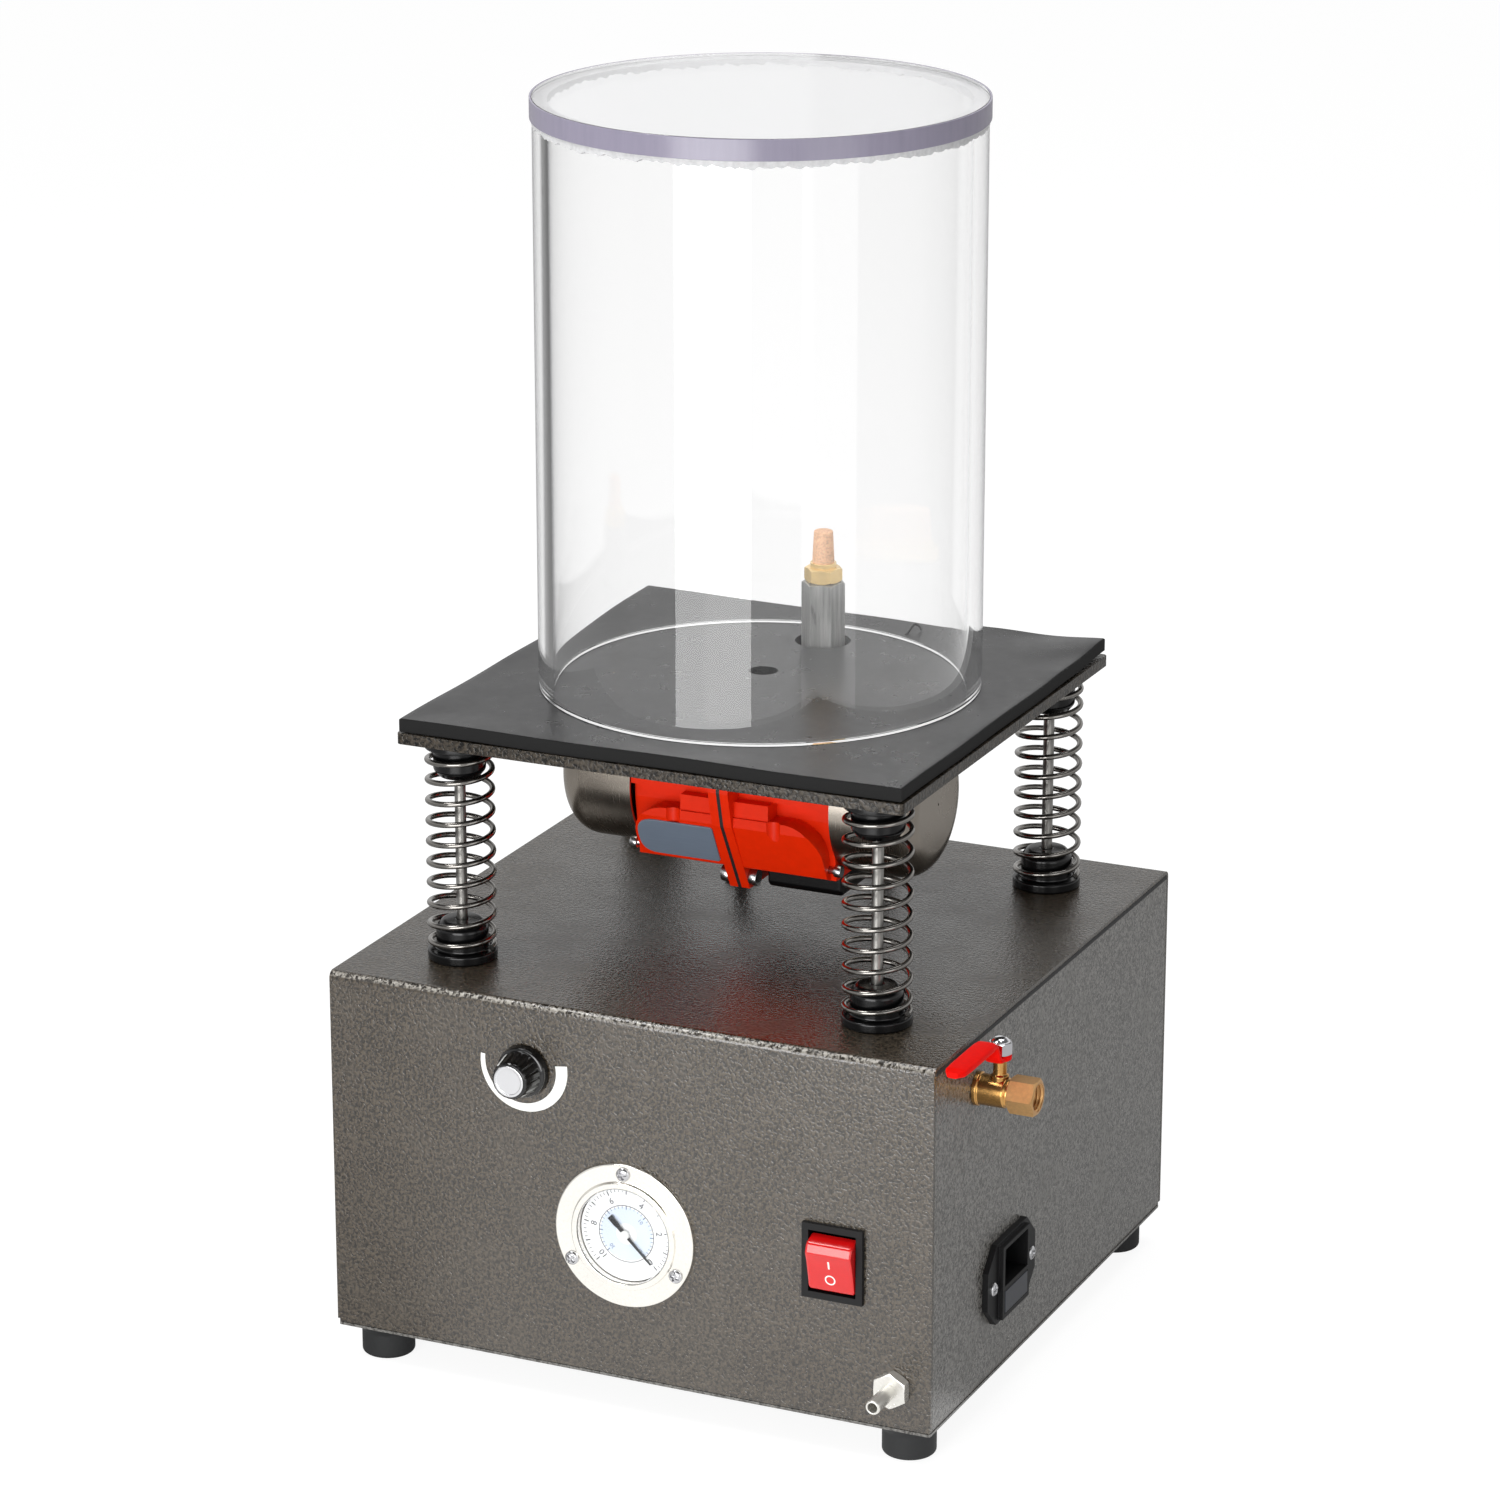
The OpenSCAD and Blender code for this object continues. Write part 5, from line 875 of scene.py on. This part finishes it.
PANEL_SCREW = {"radius": 2.8, "height": 1.6, "shank_r": 1.5}
GAUGE_SCREW_R, INLET_SCREW_SPAN = 26.0, 40.0
BASE_SCREWS = [(x, y) for x in (-80, 80) for y in (-121, 121)]
fasteners = []
for k, angle in enumerate(np.radians((90, 210, 330))):
    x, z = GAUGE + GAUGE_SCREW_R * np.array([math.cos(angle), math.sin(angle)])
    fasteners += [front(moved(s, z=2.0), x, z) for s in screw(**PANEL_SCREW, length=8, turn=0.3 + 0.5 * k)]
for k, y in enumerate((INLET[0] - INLET_SCREW_SPAN / 2, INLET[0] + INLET_SCREW_SPAN / 2)):
    fasteners += [right(moved(s, z=2.5), y, INLET[1])
                  for s in screw(**PANEL_SCREW, length=8.5, turn=0.2 + 0.6 * k)]
for x, y in BASE_SCREWS:
    fasteners += [moved(s * (1, 1, -1), x, y, BASE_LOW) for s in screw(3, 1.8, 1.5, 4)]
for x, y in FEET:
    fasteners += [moved(s * (1, 1, -1), x, y, RECESS_H) for s in screw(4.5, 3, 2.5, 17)]
    fasteners.append(moved(hex_bar(8, BASE_HIGH, BASE_HIGH + 4), x, y))
fasteners += [front(hex_bar(13, -5.5, -1.5), *BARB), right(hex_bar(15, -5.5, -1.5), *VALVE),
              front(hex_bar(10, 0, 2.2), *KNOB)]
piece("panel_screws", [skin(f) for f in fasteners], bolt_steel, "cabinet", ["cabinet_fasteners"])

# %% [markdown]
# ## The vacuum gauge
# A flanged metal case, a white dial with two scales, a black needle and a window. The marks are thin solids on the
# dial instead of a picture, so they stay sharp at any distance. Numbers on a dial are plain marks, so they may stay.

# %% Case, dial and window
case = lathe(soften([(5, -40), (5, -26), (21.5, -26), (21.5, 0), (30, 0), (30, 2), (22.6, 2), (22.4, 3.2), (20, 3.2),
                     (20, -24)], [0, 0.3, 0.6, 0.1, 0.3, 0.8, 0.3, 0.5, 0.4, 0], 6), 128)
piece("gauge_body", [skin(front(case, *GAUGE))], gauge_nickel, "cabinet", ["gauge_case"])
DIAL = -1.0
face = lathe([(19.7, DIAL - 0.8), (19.7, DIAL)], 96)
piece("dial_plate", [skin(front(face, *GAUGE))], dial_white, "cabinet", ["gauge_dial"])
pane = lathe(soften([(19.8, 1.85), (19.8, 2.85), (10, 2.95), (0.5, 3.0)], [0, 0.3, 3, 0], 6), 96)
piece("gauge_window", [skin(front(pane, *GAUGE))], window_clear, "cabinet", ["gauge_lens"])


# %% [markdown]
# A dial runs over 270 degrees. Each tick is a thin bar that is drawn once and turned by whole arrays, and each number
# is a text curve that becomes a mesh before it is put in its place.


# %% Ticks and numbers
MARK_LOW, MARK_HIGH = DIAL - 0.02, DIAL + 0.07


def scale_at(count):
    """Angles of evenly spaced marks over the dial, from the lower left clockwise to the lower right."""
    return np.radians(np.linspace(225, -45, count))


def ticks(angles, inner, outer, width):
    """Thin bars from the inner to the outer radius at each angle, as separate closed boxes."""
    a = angles[:, None]
    away, aside = np.stack([np.cos(a), np.sin(a)], -1), np.stack([-np.sin(a), np.cos(a)], -1)
    s = np.array([-1, -1, 1, 1])[None, :, None] * width / 2
    r = np.array([inner, outer, outer, inner])[None, :, None]
    flat = r * away + s * aside
    return [np.stack([np.concatenate([bar, np.full((4, 1), z)], -1) for z in (MARK_LOW, MARK_HIGH)])
            for bar in flat]


def numeral(text, size, radius, angle):
    """Text as closed thin solids (points, faces): a flat text curve with a small extrusion, made a mesh, then turned
    so that its foot points to the middle of the dial: (x, y) becomes (x sin a + y cos a, y sin a - x cos a)."""
    curve = bpy.data.curves.new("numeral", "FONT")
    curve.body, curve.size, curve.align_x, curve.align_y = text, size, "CENTER", "CENTER"
    curve.extrude, curve.resolution_u = (MARK_HIGH - MARK_LOW) / 2, 3
    held = bpy.data.objects.new("numeral", curve)
    bpy.context.scene.collection.objects.link(held)
    mesh = bpy.data.meshes.new_from_object(held.evaluated_get(bpy.context.evaluated_depsgraph_get()))
    points = np.zeros(len(mesh.vertices) * 3)
    mesh.vertices.foreach_get("co", points)
    faces = [np.array(p.vertices) for p in mesh.polygons]
    bpy.data.objects.remove(held)
    bpy.data.meshes.remove(mesh)
    x, y, z = points.reshape(-1, 3).T
    y = y + radius
    c, s = math.cos(angle), math.sin(angle)
    turned = np.stack([x * s + y * c, y * s - x * c, z + (MARK_LOW + MARK_HIGH) / 2], -1)
    return turned, np.zeros((0, 4), int), faces


def on_dial(made):
    """A dial mark stood on the front panel."""
    points, quads, faces = made
    return front(points, *GAUGE), quads, faces


print("dial marks lie from", MARK_LOW, "to", MARK_HIGH, "mm")

# %% [markdown]
# The outer scale runs from 0 to 10 and the inner one, on a pale blue field, from 0 to 30. Zero is at the lower right,
# as on a vacuum gauge, and the needle rests on it.

# %% Scales and needle
marks = ticks(scale_at(11), 16.6, 18.6, 0.4) + ticks(scale_at(51), 17.4, 18.6, 0.2)
inner_marks = ticks(scale_at(31), 10.6, 11.7, 0.2) + ticks(scale_at(7), 10.2, 11.7, 0.36)
numbers = [numeral(t, 3.7, 14.2, a) for t, a in zip(("10", "8", "6", "4", "2", "0"), scale_at(6))]
small = [numeral(t, 2.3, 8.6, a) for t, a in zip(("30", "20", "10", "0"), scale_at(4))]
piece("dial_marks", [skin(front(m, *GAUGE)) for m in marks] + [on_dial(n) for n in numbers], dial_ink, "cabinet")
piece("dial_inner_marks", [skin(front(m, *GAUGE)) for m in inner_marks] + [on_dial(n) for n in small], dial_blue,
      "cabinet")
point = soften([(15.5, -0.2), (15.5, 0.2), (1.5, 0.5), (-4.5, 0.8), (-5, 1.0), (-9.5, 1.1), (-9.5, -1.1), (-5, -1.0),
                (-4.5, -0.8), (1.5, -0.5)], 0.2, 3, closed=True)
NEEDLE_AT = math.radians(-45)
turned = np.stack([point[:, 0] * math.cos(NEEDLE_AT) - point[:, 1] * math.sin(NEEDLE_AT),
                   point[:, 0] * math.sin(NEEDLE_AT) + point[:, 1] * math.cos(NEEDLE_AT)], -1)
staff = lathe([(0.75, -7.2), (0.75, 0)], 24)
piece("needle_hand", [skin(front(slab(turned, -0.2, 0.6, 0.15), *GAUGE)), skin(front(staff, *GAUGE))], knob_black,
      "needle", ["gauge_needle"])
hub = lathe(soften([(1.8, 0.1), (1.8, 1.2), (1.2, 1.4), (0.4, 1.4)], [0, 0.3, 0.3, 0]), 48)
piece("needle_boss", [skin(front(hub, *GAUGE))], print_white, "needle")
zone = lathe([(4.4, MARK_LOW), (11.2, MARK_LOW), (11.2, MARK_HIGH - 0.04), (4.4, MARK_HIGH - 0.04)], 96)
hoop_line = lathe([(11.7, MARK_LOW), (11.95, MARK_LOW), (11.95, MARK_HIGH), (11.7, MARK_HIGH)], 96)
piece("dial_zone", [skin(front(zone, *GAUGE), True)], dial_pale, "cabinet")
piece("dial_line", [skin(front(hoop_line, *GAUGE), True)], dial_ink, "cabinet")

# %% [markdown]
# ## The speed knob
# A black pointer knob with eighteen flutes. The flutes are a small dip of the radius that follows the angle; they
# fade out towards the skirt and the crown.

# %% Knob grip
FLUTES, FLUTE_DEEP = 18, 0.55
grip_line = soften([(10.75, 0.8), (10.2, 3.8), (9.1, 4.2), (7.6, 13.1), (6.9, 13.8), (6.5, 13.8)],
                   [0, 0.7, 0.5, 0.8, 0.3, 0], 5)
grip_line = np.concatenate([grip_line[:1] * (0.66, 1), grip_line])
grip_r, grip_z = grip_line.T
fill = np.linspace(0, len(grip_r) - 1, 90)
grip_r, grip_z = np.interp(fill, np.arange(len(grip_r)), grip_r), np.interp(fill, np.arange(len(grip_z)), grip_z)
around = np.linspace(0, 2 * np.pi, FLUTES * 16, endpoint=False)
dip = np.clip((grip_z - 4.3) / 1.2, 0, 1) * np.clip((13.5 - grip_z) / 0.8, 0, 1)
flute = np.clip(np.cos(FLUTES * around), 0, 1) ** 1.3
radius = grip_r[:, None] - FLUTE_DEEP * dip[:, None] * flute[None]
room = np.array([(6.4, 13.1), (3.1, 13.1), (3.1, 7.8), (7.0, 7.8), (7.0, 0.8)])
radius = np.concatenate([radius, np.repeat(room[:, :1], len(around), 1)])
height = np.concatenate([grip_z, room[:, 1]])
knob = np.stack([radius * np.cos(around), radius * np.sin(around), np.repeat(height[:, None], len(around), 1)], -1)
piece("knob_grip", [skin(front(knob, *KNOB), True)], knob_black, "speed_knob", ["knob_body"])

# %% [markdown]
# The knob has a silver cap and a white line, which follows the grip's outline. Under it the panel has a printed white
# wedge that grows in the direction of more speed: a flat strip along an arc.

# %% Cap, line and wedge
LINE_AT = math.radians(130)
WEDGE, WEDGE_R, WEDGE_STEPS = KNOB + (-0.3, 1.7), 19.0, 90
cap = lathe(soften([(6.4, 13.12), (6.4, 14.3), (5.4, 14.3), (5.2, 14.1), (0.5, 14.1)], [0, 0.3, 0.1, 0.1, 0], 5), 96)
piece("knob_disc", [skin(front(cap, *KNOB))], cap_silver, "speed_knob", ["knob_cap"])
line_z = np.linspace(13.8, 4.6, 12)
line_r = np.interp(line_z, grip_z[30:], grip_r[30:])
away = np.array([math.cos(LINE_AT), math.sin(LINE_AT), 0])
aside = np.array([-math.sin(LINE_AT), math.cos(LINE_AT), 0])
corner = np.array([(-0.55, -0.3), (0.55, -0.3), (0.55, 0.12), (-0.55, 0.12)])
line = (line_r[:, None, None] + corner[None, :, 1:]) * away + corner[None, :, :1] * aside
line = line + line_z[:, None, None] * np.array([0, 0, 1.0])
piece("knob_line", [skin(front(line, *KNOB))], print_white, "speed_knob")
arc = np.radians(np.linspace(172, 368, WEDGE_STEPS))
thick = 1.9 + 3.3 * np.linspace(0, 1, WEDGE_STEPS) ** 1.2
ring = np.stack([np.stack([WEDGE_R - t, np.full(WEDGE_STEPS, z)], -1)
                 for t, z in ((thick, 0.02), (0 * thick, 0.02), (0 * thick, 0.1), (thick, 0.1))], 1)
wedge = np.stack([ring[..., 0] * np.cos(arc)[:, None], ring[..., 0] * np.sin(arc)[:, None], ring[..., 1]], -1)
piece("speed_wedge", [skin(front(wedge, *WEDGE))], print_white, "cabinet")

# %% [markdown]
# ## The rocker switch
# The red rocker is pressed in at the bottom, so its upper end stands out. Its side view is a line with a shallow dip
# and slanted ends, softened at the corners; carried across the width, with both ends drawn in a little, it gives the
# moulded shape.

# %% Rocker and its marks
TILT, PIVOT_DEEP, ROUND_STEPS = math.radians(14), 3.0, 7
side = soften([(-10.2, 7.9), (-2.8, 7.6), (2.8, 7.6), (7.2, 8.0), (10.6, 5.7), (11.2, -0.1), (3, -5.5), (-3, -5.5),
               (-11.2, -0.1), (-11.25, 2)], [1.6, 6, 6, 0.7, 1.0, 0.3, 0.6, 0.6, 0.3, 0.8], ROUND_STEPS, closed=True)
draw_x = np.array([-9.7, -9.5, -9.1, -8.6, 8.6, 9.1, 9.5, 9.7])
draw_in = np.array([0.90, 0.955, 0.985, 1.0, 1.0, 0.985, 0.955, 0.90])
rock = np.stack([np.repeat(draw_x[:, None], len(side), 1), draw_in[:, None] * side[None, :, 0],
                 draw_in[:, None] * side[None, :, 1]], -1)
pin = lathe([(1.5, -11), (1.5, 11)], 32)[..., [2, 0, 1]]


def tilted(shape):
    """Leans a shape about the rocker's pivot, a little behind the panel, and stands it on the front panel."""
    y, z = shape[..., 1], shape[..., 2]
    leaned = np.stack([shape[..., 0], y * math.cos(TILT) - z * math.sin(TILT),
                       y * math.sin(TILT) + z * math.cos(TILT) - PIVOT_DEEP], -1)
    return front(leaned, *SWITCH)


piece("rocker_cap", [skin(tilted(rock)), skin(tilted(pin))], rocker_red, "power_rocker", ["rocker"])
face_y, face_z = side[:4 * ROUND_STEPS].T


def on_rocker(mark):
    """Lays a flat mark on the rocker's face: its height is added to the height of the dipped face under it."""
    lifted = mark.copy()
    lifted[..., 2] += np.interp(mark[..., 1], np.sort(face_y), face_z[np.argsort(face_y)])
    return tilted(lifted)


bar_mark = moved(slab(box_outline(0.7, 3.6, 0.2), -0.05, 0.07), 0, 2.6)
hoop = lathe([(1.65, -0.05), (2.2, -0.05), (2.2, 0.07), (1.65, 0.07)], 48)
piece("rocker_marks", [skin(on_rocker(bar_mark)), skin(on_rocker(moved(hoop, 0, -4.4)), True)], print_white,
      "power_rocker")

# %% [markdown]
# ## The hose barb
# At the lower right corner of the front a short metal tube takes the exhaust hose. It is turned, with a small chamfer
# at its mouth, and stands on a hexagon.

# %% Barb
barb = lathe(soften([(2, -14), (4, -14), (4, 4.5), (3, 5), (3, 20.4), (2.6, 21), (2, 21)], 0.3, closed=True), 64)
barb_hex = hex_bar(13, 0, 5)[..., [1, 0, 2]]
piece("barb_tube", [skin(front(barb, *BARB), True), skin(front(barb_hex, *BARB))], barb_steel, "cabinet",
      ["hose_barb"])

# %% [markdown]
# ## The ball valve
# A small brass valve lets air back into the chamber. Its body is turned in steps, and its end is a hexagon with a
# bore. The thread in the bore is a wave of its radius, which is enough for a thread that is seen from outside.

# %% Valve body and end
NUT_BORE, NUT_LOW, NUT_HIGH = 11.2, 14.5, 25.5
THREAD_LOW, THREAD_HIGH, THREAD_PITCH = 15.2, 25.2, 1.4
body = lathe(soften([(2.25, -16), (4.8, -16), (4.8, 0), (6.8, 0), (6.8, 1.8), (6.2, 2.2), (6.2, 12.6), (5.4, 13.6),
                     (5.4, 15), (2.25, 15)], 0.4, closed=True), 96)
nut_end = hex_bar(13.4, NUT_LOW, NUT_HIGH, bore=NUT_BORE)
thread_z = np.linspace(THREAD_HIGH, THREAD_LOW, 120)
thread_r = 5.3 + 0.3 * np.cos(2 * np.pi * thread_z / THREAD_PITCH)
thread_back = [(NUT_BORE / 2 + 0.05, THREAD_LOW), (NUT_BORE / 2 + 0.05, THREAD_HIGH)]
thread = lathe(np.concatenate([np.stack([thread_r, thread_z], -1), thread_back]), 96)
bonnet = lathe(soften([(1.6, 4.5), (3.6, 4.5), (3.6, 7), (2.7, 7.6), (2.7, 13.5), (1.6, 13.5)], 0.3, closed=True), 64)
stem_at = (STEM_X, *VALVE)
piece("valve_shell", [skin(right(body, *VALVE), True), skin(moved(bonnet, *stem_at), True)], valve_brass, "cabinet",
      ["valve_body"])
piece("valve_end", [skin(right(nut_end, *VALVE), True), skin(right(thread, *VALVE), True)], nut_brass, "cabinet")

# %% [markdown]
# A red lever sits on the valve's stem under a bright nut. It is a flat strip, bent upwards, with a dipped grip: one
# rounded section that changes its width and thickness along a bent line.

# %% Lever and nut
bend = trail([(-1.5, 0.9), (4.5, 1.0), (7.5, 2.6), (10.5, 7.4), (13.6, 10.0), (17, 10.2), (30, 10.2), (44, 10.2),
              (48.6, 10.2)], 8)
wide = np.interp(bend[:, 0], [0, 5, 9, 14, 18, 40, 45, 48.6], [3.6, 3.6, 3.6, 4.0, 4.5, 4.5, 4.2, 2.2])
deep = np.interp(bend[:, 0], [0, 12, 16, 45, 48.6], [1.0, 1.2, 1.7, 1.7, 1.1])
lift = np.gradient(bend, axis=0)
lift /= np.linalg.norm(lift, axis=1)[:, None]
a = np.linspace(0, 2 * np.pi, 32, endpoint=False)
oval_x = np.sign(np.cos(a)) * np.abs(np.cos(a)) ** 0.45
oval_z = np.sign(np.sin(a)) * np.abs(np.sin(a)) ** 0.7
strip_y = -bend[:, :1] + lift[:, 1:] * deep[:, None] * oval_z
strip_z = bend[:, 1:] + lift[:, :1] * deep[:, None] * oval_z
strip = np.stack([wide[:, None] * oval_x, strip_y, strip_z + 13.6], -1)
eye = lathe(soften([(1.6, 13.6), (4.5, 13.6), (4.5, 15.8), (1.6, 15.8)], 0.4, closed=True), 64)
piece("lever_grip", [skin(moved(strip, *stem_at)), skin(moved(eye, *stem_at), True)], grip_red, "valve_handle",
      ["valve_lever"])
dome = lathe(soften([(3.9, 20.6), (3.7, 21.2), (2.4, 22.3), (0.4, 22.6)], [0, 0.5, 0.6, 0], 6), 64)
piece("dome_nut", [skin(moved(hex_bar(8.5, 15.8, 20.8), *stem_at)), skin(moved(dome, *stem_at))], nut_chrome,
      "valve_handle", ["lever_nut"])

# %% [markdown]
# ## Hoses and the motor cable
# Inside the cabinet four rubber hoses join gauge, valve, pump and barb. One hose and one cable go up to the
# platform behind the motor; they follow the cabinet below the sheet and the platform above it.

# %% Hoses
HOSE_ROUTES = [
    ([(0, -87, 76.5), (0, -79, 76.5), (3, -69, 74), (13, -63, 68), (24, -62, 60), (28, -62, 53), (28, -62, 47)],
     (1, 0, 0)),
    ([(114, -84, 144), (106, -84, 144), (97, -80, 138), (90, -74, 120), (80, -66, 90), (72, -62, 62), (72, -62, 47)],
     (0, 1, 0)),
    ([(58, -62, 47), (58, -62, 60), (57, -52, 85), (50, -24, 116), (38, 10, 138), (29, 34, 147), (25, 42, 139),
      (25, 42, 121)], (1, 0, 0)),
    ([(25, 62, 121), (25, 62, 135), (32, 63, 145), (48, 65, 145), (70, 66, 130), (88, 60, 100), (97, 40, 62),
      (101, 8, 34), (106, -36, 29), (111, -80, 31), (114.5, -101, 32.9), (114.5, -113, 32.9)], (1, 0.2, 0)),
]
piece("inner_hoses", [skin(tube(trail(route), HOSE_R, 16, hint)) for route, hint in HOSE_ROUTES], hose_rubber,
      "cabinet", ["vacuum_hoses"])
platform_route = [(42, -62, 47), (42, -62, 60), (40, -52, 88), (30, -28, 116), (14, 0, 134), (6, 30, 143),
                  (6, 60, 147), (10, 86, 147), (14, 96, 154), (14, 96, 178), (13, 90, 194), (6, 74, 216),
                  (0, 63.5, 229), (0, 63.5, 238.5)]
riser = piece("platform_riser", [skin(tube(trail(platform_route), HOSE_R, 16, (1, 0, 0)))], hose_rubber, None,
              ["platform_hose"])
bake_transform(riser)
cable_route = [(26.25, 15, 191.25), (26.25, 24, 191.25), (17.25, 34, 191.25), (-0.75, 42, 191.25), (-18, 44, 190),
               (-28, 44, 182), (-28, 44, 152), (-34, 34, 140), (-48, 8, 122), (-58, -30, 92), (-57, -57, 62),
               (-57, -57, 39)]
lead = piece("motor_lead", [skin(tube(trail(cable_route), CABLE_R, 14, (0.1, -0.2, 1)))], hose_rubber, None,
             ["motor_cable"])
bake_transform(lead)

# %% [markdown]
# ## Floor, world and lamps
# The machine stands on a white surface in front of white. The floor glows white for the eye and for glass, and keeps
# a part that takes the light, so that the shadow stays. It is a flat disc just under the feet.

# %% Floor disc
FLOOR_R, FLOOR_STEPS, FLOOR_Z = 12.0, 96, -0.0002
floor_a = np.linspace(0, 2 * np.pi, FLOOR_STEPS, endpoint=False)
floor_ring = np.stack([FLOOR_R * np.cos(floor_a), FLOOR_R * np.sin(floor_a), 0 * floor_a + FLOOR_Z], -1)
floor_mesh = bpy.data.meshes.new("floor")
floor_mesh.from_pydata(floor_ring.tolist(), [], [list(range(FLOOR_STEPS))])
floor = bpy.data.objects.new("floor", floor_mesh)
bpy.context.scene.collection.objects.link(floor)
print("floor:", 2 * FLOOR_R, "m across")

# %% [markdown]
# A studio shows different things to the eye and to a mirror, and the Light Path node tells which of them a ray is
# for. Things behind the edge of a clear tube are seen from far aside, so a dark card there draws the tube's outline.


# %% What each ray sees
def seen_rays(tree):
    """1 for camera, glossy and transmission rays, 0 for the light that falls on things, also through the chamber.
    The second output is 1 for glossy reflections alone, as rays through slightly rough glass are glossy too, and the
    third one is 1 for rays through glass."""
    ray = add(tree, "LightPath").outputs
    either = calc(tree, "MAXIMUM", ray["Is Camera Ray"], ray["Is Glossy Ray"])
    any_of = calc(tree, "MAXIMUM", either, ray["Is Transmission Ray"])
    direct = calc(tree, "LESS_THAN", ray["Diffuse Depth"], 0.5)
    mirrored = calc(tree, "MULTIPLY", ray["Is Glossy Ray"], ray["Is Reflection Ray"])
    shown = calc(tree, "MULTIPLY", any_of, direct)
    return shown, mirrored, ray["Is Transmission Ray"]


CARD, CARD_FROM, CARD_FULL, CARD_LEVEL = (-0.909, -0.416, 0.0), 0.44, 0.52, 0.03


def dark_card(tree, direction):
    """Level seen through glass: 1 nearly everywhere and CARD_LEVEL towards a dark card at the left, where only the
    edge of the clear tube bends the view. It gets a dark line from the card, as glass in a studio does."""
    side = add(tree, "VectorMath", {"operation": "DOT_PRODUCT"}, i0=direction, i1=CARD).outputs["Value"]
    return remap(tree, side, CARD_FROM, CARD_FULL, 1.0, CARD_LEVEL)


print("dark card towards", CARD)

# %% [markdown]
# In reflections the floor is white only close in front of the machine and grey elsewhere, as in a studio with one
# white sheet: metal and glossy paint need that change from light to grey to show their shapes.

# %% Floor finish
TO_CAMERA, SHEET_GREY, SHEET_WHITE, FLOOR_LEVEL = (0.30, -0.954, 0.0), 0.34, 0.95, 0.9
white = bpy.data.materials.new("white_floor")
white.use_nodes = True
tree = white.node_tree
tree.nodes.clear()
seen, gloss, through = seen_rays(tree)
spot = add(tree, "TexCoord").outputs["Object"]
outwards = add(tree, "VectorMath", {"operation": "NORMALIZE"}, i0=spot).outputs[0]
ahead = add(tree, "VectorMath", {"operation": "DOT_PRODUCT"}, i0=outwards, i1=TO_CAMERA).outputs["Value"]
sector = remap(tree, ahead, 0.6, 0.68)
away = add(tree, "VectorMath", {"operation": "LENGTH"}, i0=spot).outputs["Value"]
close = remap(tree, away, 0.55, 0.8, 1.0, 0.0)
both = calc(tree, "MULTIPLY", sector, close)
sheet = remap(tree, both, 0.0, 1.0, SHEET_GREY, SHEET_WHITE)
bent = mix_value(tree, through, 1.0, dark_card(tree, outwards))
clear_level = calc(tree, "MULTIPLY", bent, FLOOR_LEVEL)
level = mix_value(tree, gloss, clear_level, sheet)
dull = add(tree, "BsdfDiffuse", Color=(0.8, 0.8, 0.8, 1)).outputs[0]
glow = add(tree, "Emission", Color=(1, 1, 1, 1), Strength=level).outputs[0]
faint = add(tree, "BsdfDiffuse", Color=(0.2, 0.2, 0.2, 1)).outputs[0]
shown = add(tree, "AddShader", i0=glow, i1=faint).outputs[0]
mix = add(tree, "MixShader", i0=seen, i1=dull, i2=shown).outputs[0]
add(tree, "OutputMaterial", Surface=mix)
floor_mesh.materials.append(white)
print("floor finish:", white.name)

# %% [markdown]
# The world is white for the eye and through glass. In reflections it is light grey near the horizon and dark above,
# like a studio's ceiling, so that round metal shows light and dark. Two low softboxes stand in front of the machine,
# the left one brighter: clear plastic mirrors them as upright bands. Two lamps hang above.

# %% World and lamps
CEILING_FROM, CEILING_FULL, HORIZON_LEVEL, CEILING_LEVEL, AMBIENT = 0.36, 0.62, 0.85, 0.14, 0.4
scene = bpy.context.scene
scene.view_settings.view_transform = "Standard"
world = bpy.data.worlds.new("studio")
scene.world = world
world.use_nodes = True
tree = world.node_tree
tree.nodes.clear()
seen, gloss, through = seen_rays(tree)
outwards = add(tree, "TexCoord").outputs["Generated"]
clear_level = mix_value(tree, through, 1.0, dark_card(tree, outwards))
upwards = add(tree, "SeparateXYZ", Vector=outwards).outputs["Z"]
ceiling = remap(tree, upwards, CEILING_FROM, CEILING_FULL, HORIZON_LEVEL, CEILING_LEVEL)
level = mix_value(tree, gloss, clear_level, ceiling)
shown = add(tree, "Background", Color=(1, 1, 1, 1), Strength=level).outputs[0]
ambient = add(tree, "Background", Color=(1, 1, 1, 1), Strength=AMBIENT).outputs[0]
mix = add(tree, "MixShader", i0=seen, i1=ambient, i2=shown).outputs[0]
add(tree, "OutputWorld", Surface=mix)


def softbox(name, spot, aim, width, height, watts):
    """A flat area lamp at spot that points at aim, all in metres. The camera and glass don't see it, mirrors do."""
    data = bpy.data.lights.new(name, "AREA")
    data.shape, data.size, data.size_y, data.energy = "RECTANGLE", width, height, watts
    lamp = bpy.data.objects.new(name, data)
    lamp.location = spot
    lamp.rotation_euler = (Vector(aim) - Vector(spot)).to_track_quat("-Z", "Y").to_euler()
    lamp.visible_camera = lamp.visible_transmission = False
    scene.collection.objects.link(lamp)


softbox("left_box", (0.02, -0.885, 0.225), (0, 0, 0.225), 0.6, 0.44, 5.1)
softbox("right_box", (0.763, -0.477, 0.225), (0, 0, 0.225), 0.44, 0.44, 0.8)
softbox("high", (-0.6, -0.5, 1.5), (0, 0, 0.2), 0.45, 0.45, 7)
softbox("top", (0.1, 0.3, 2.0), (0, 0, 0.3), 1.2, 1.2, 14)
print("lamps:", len(bpy.data.lights))
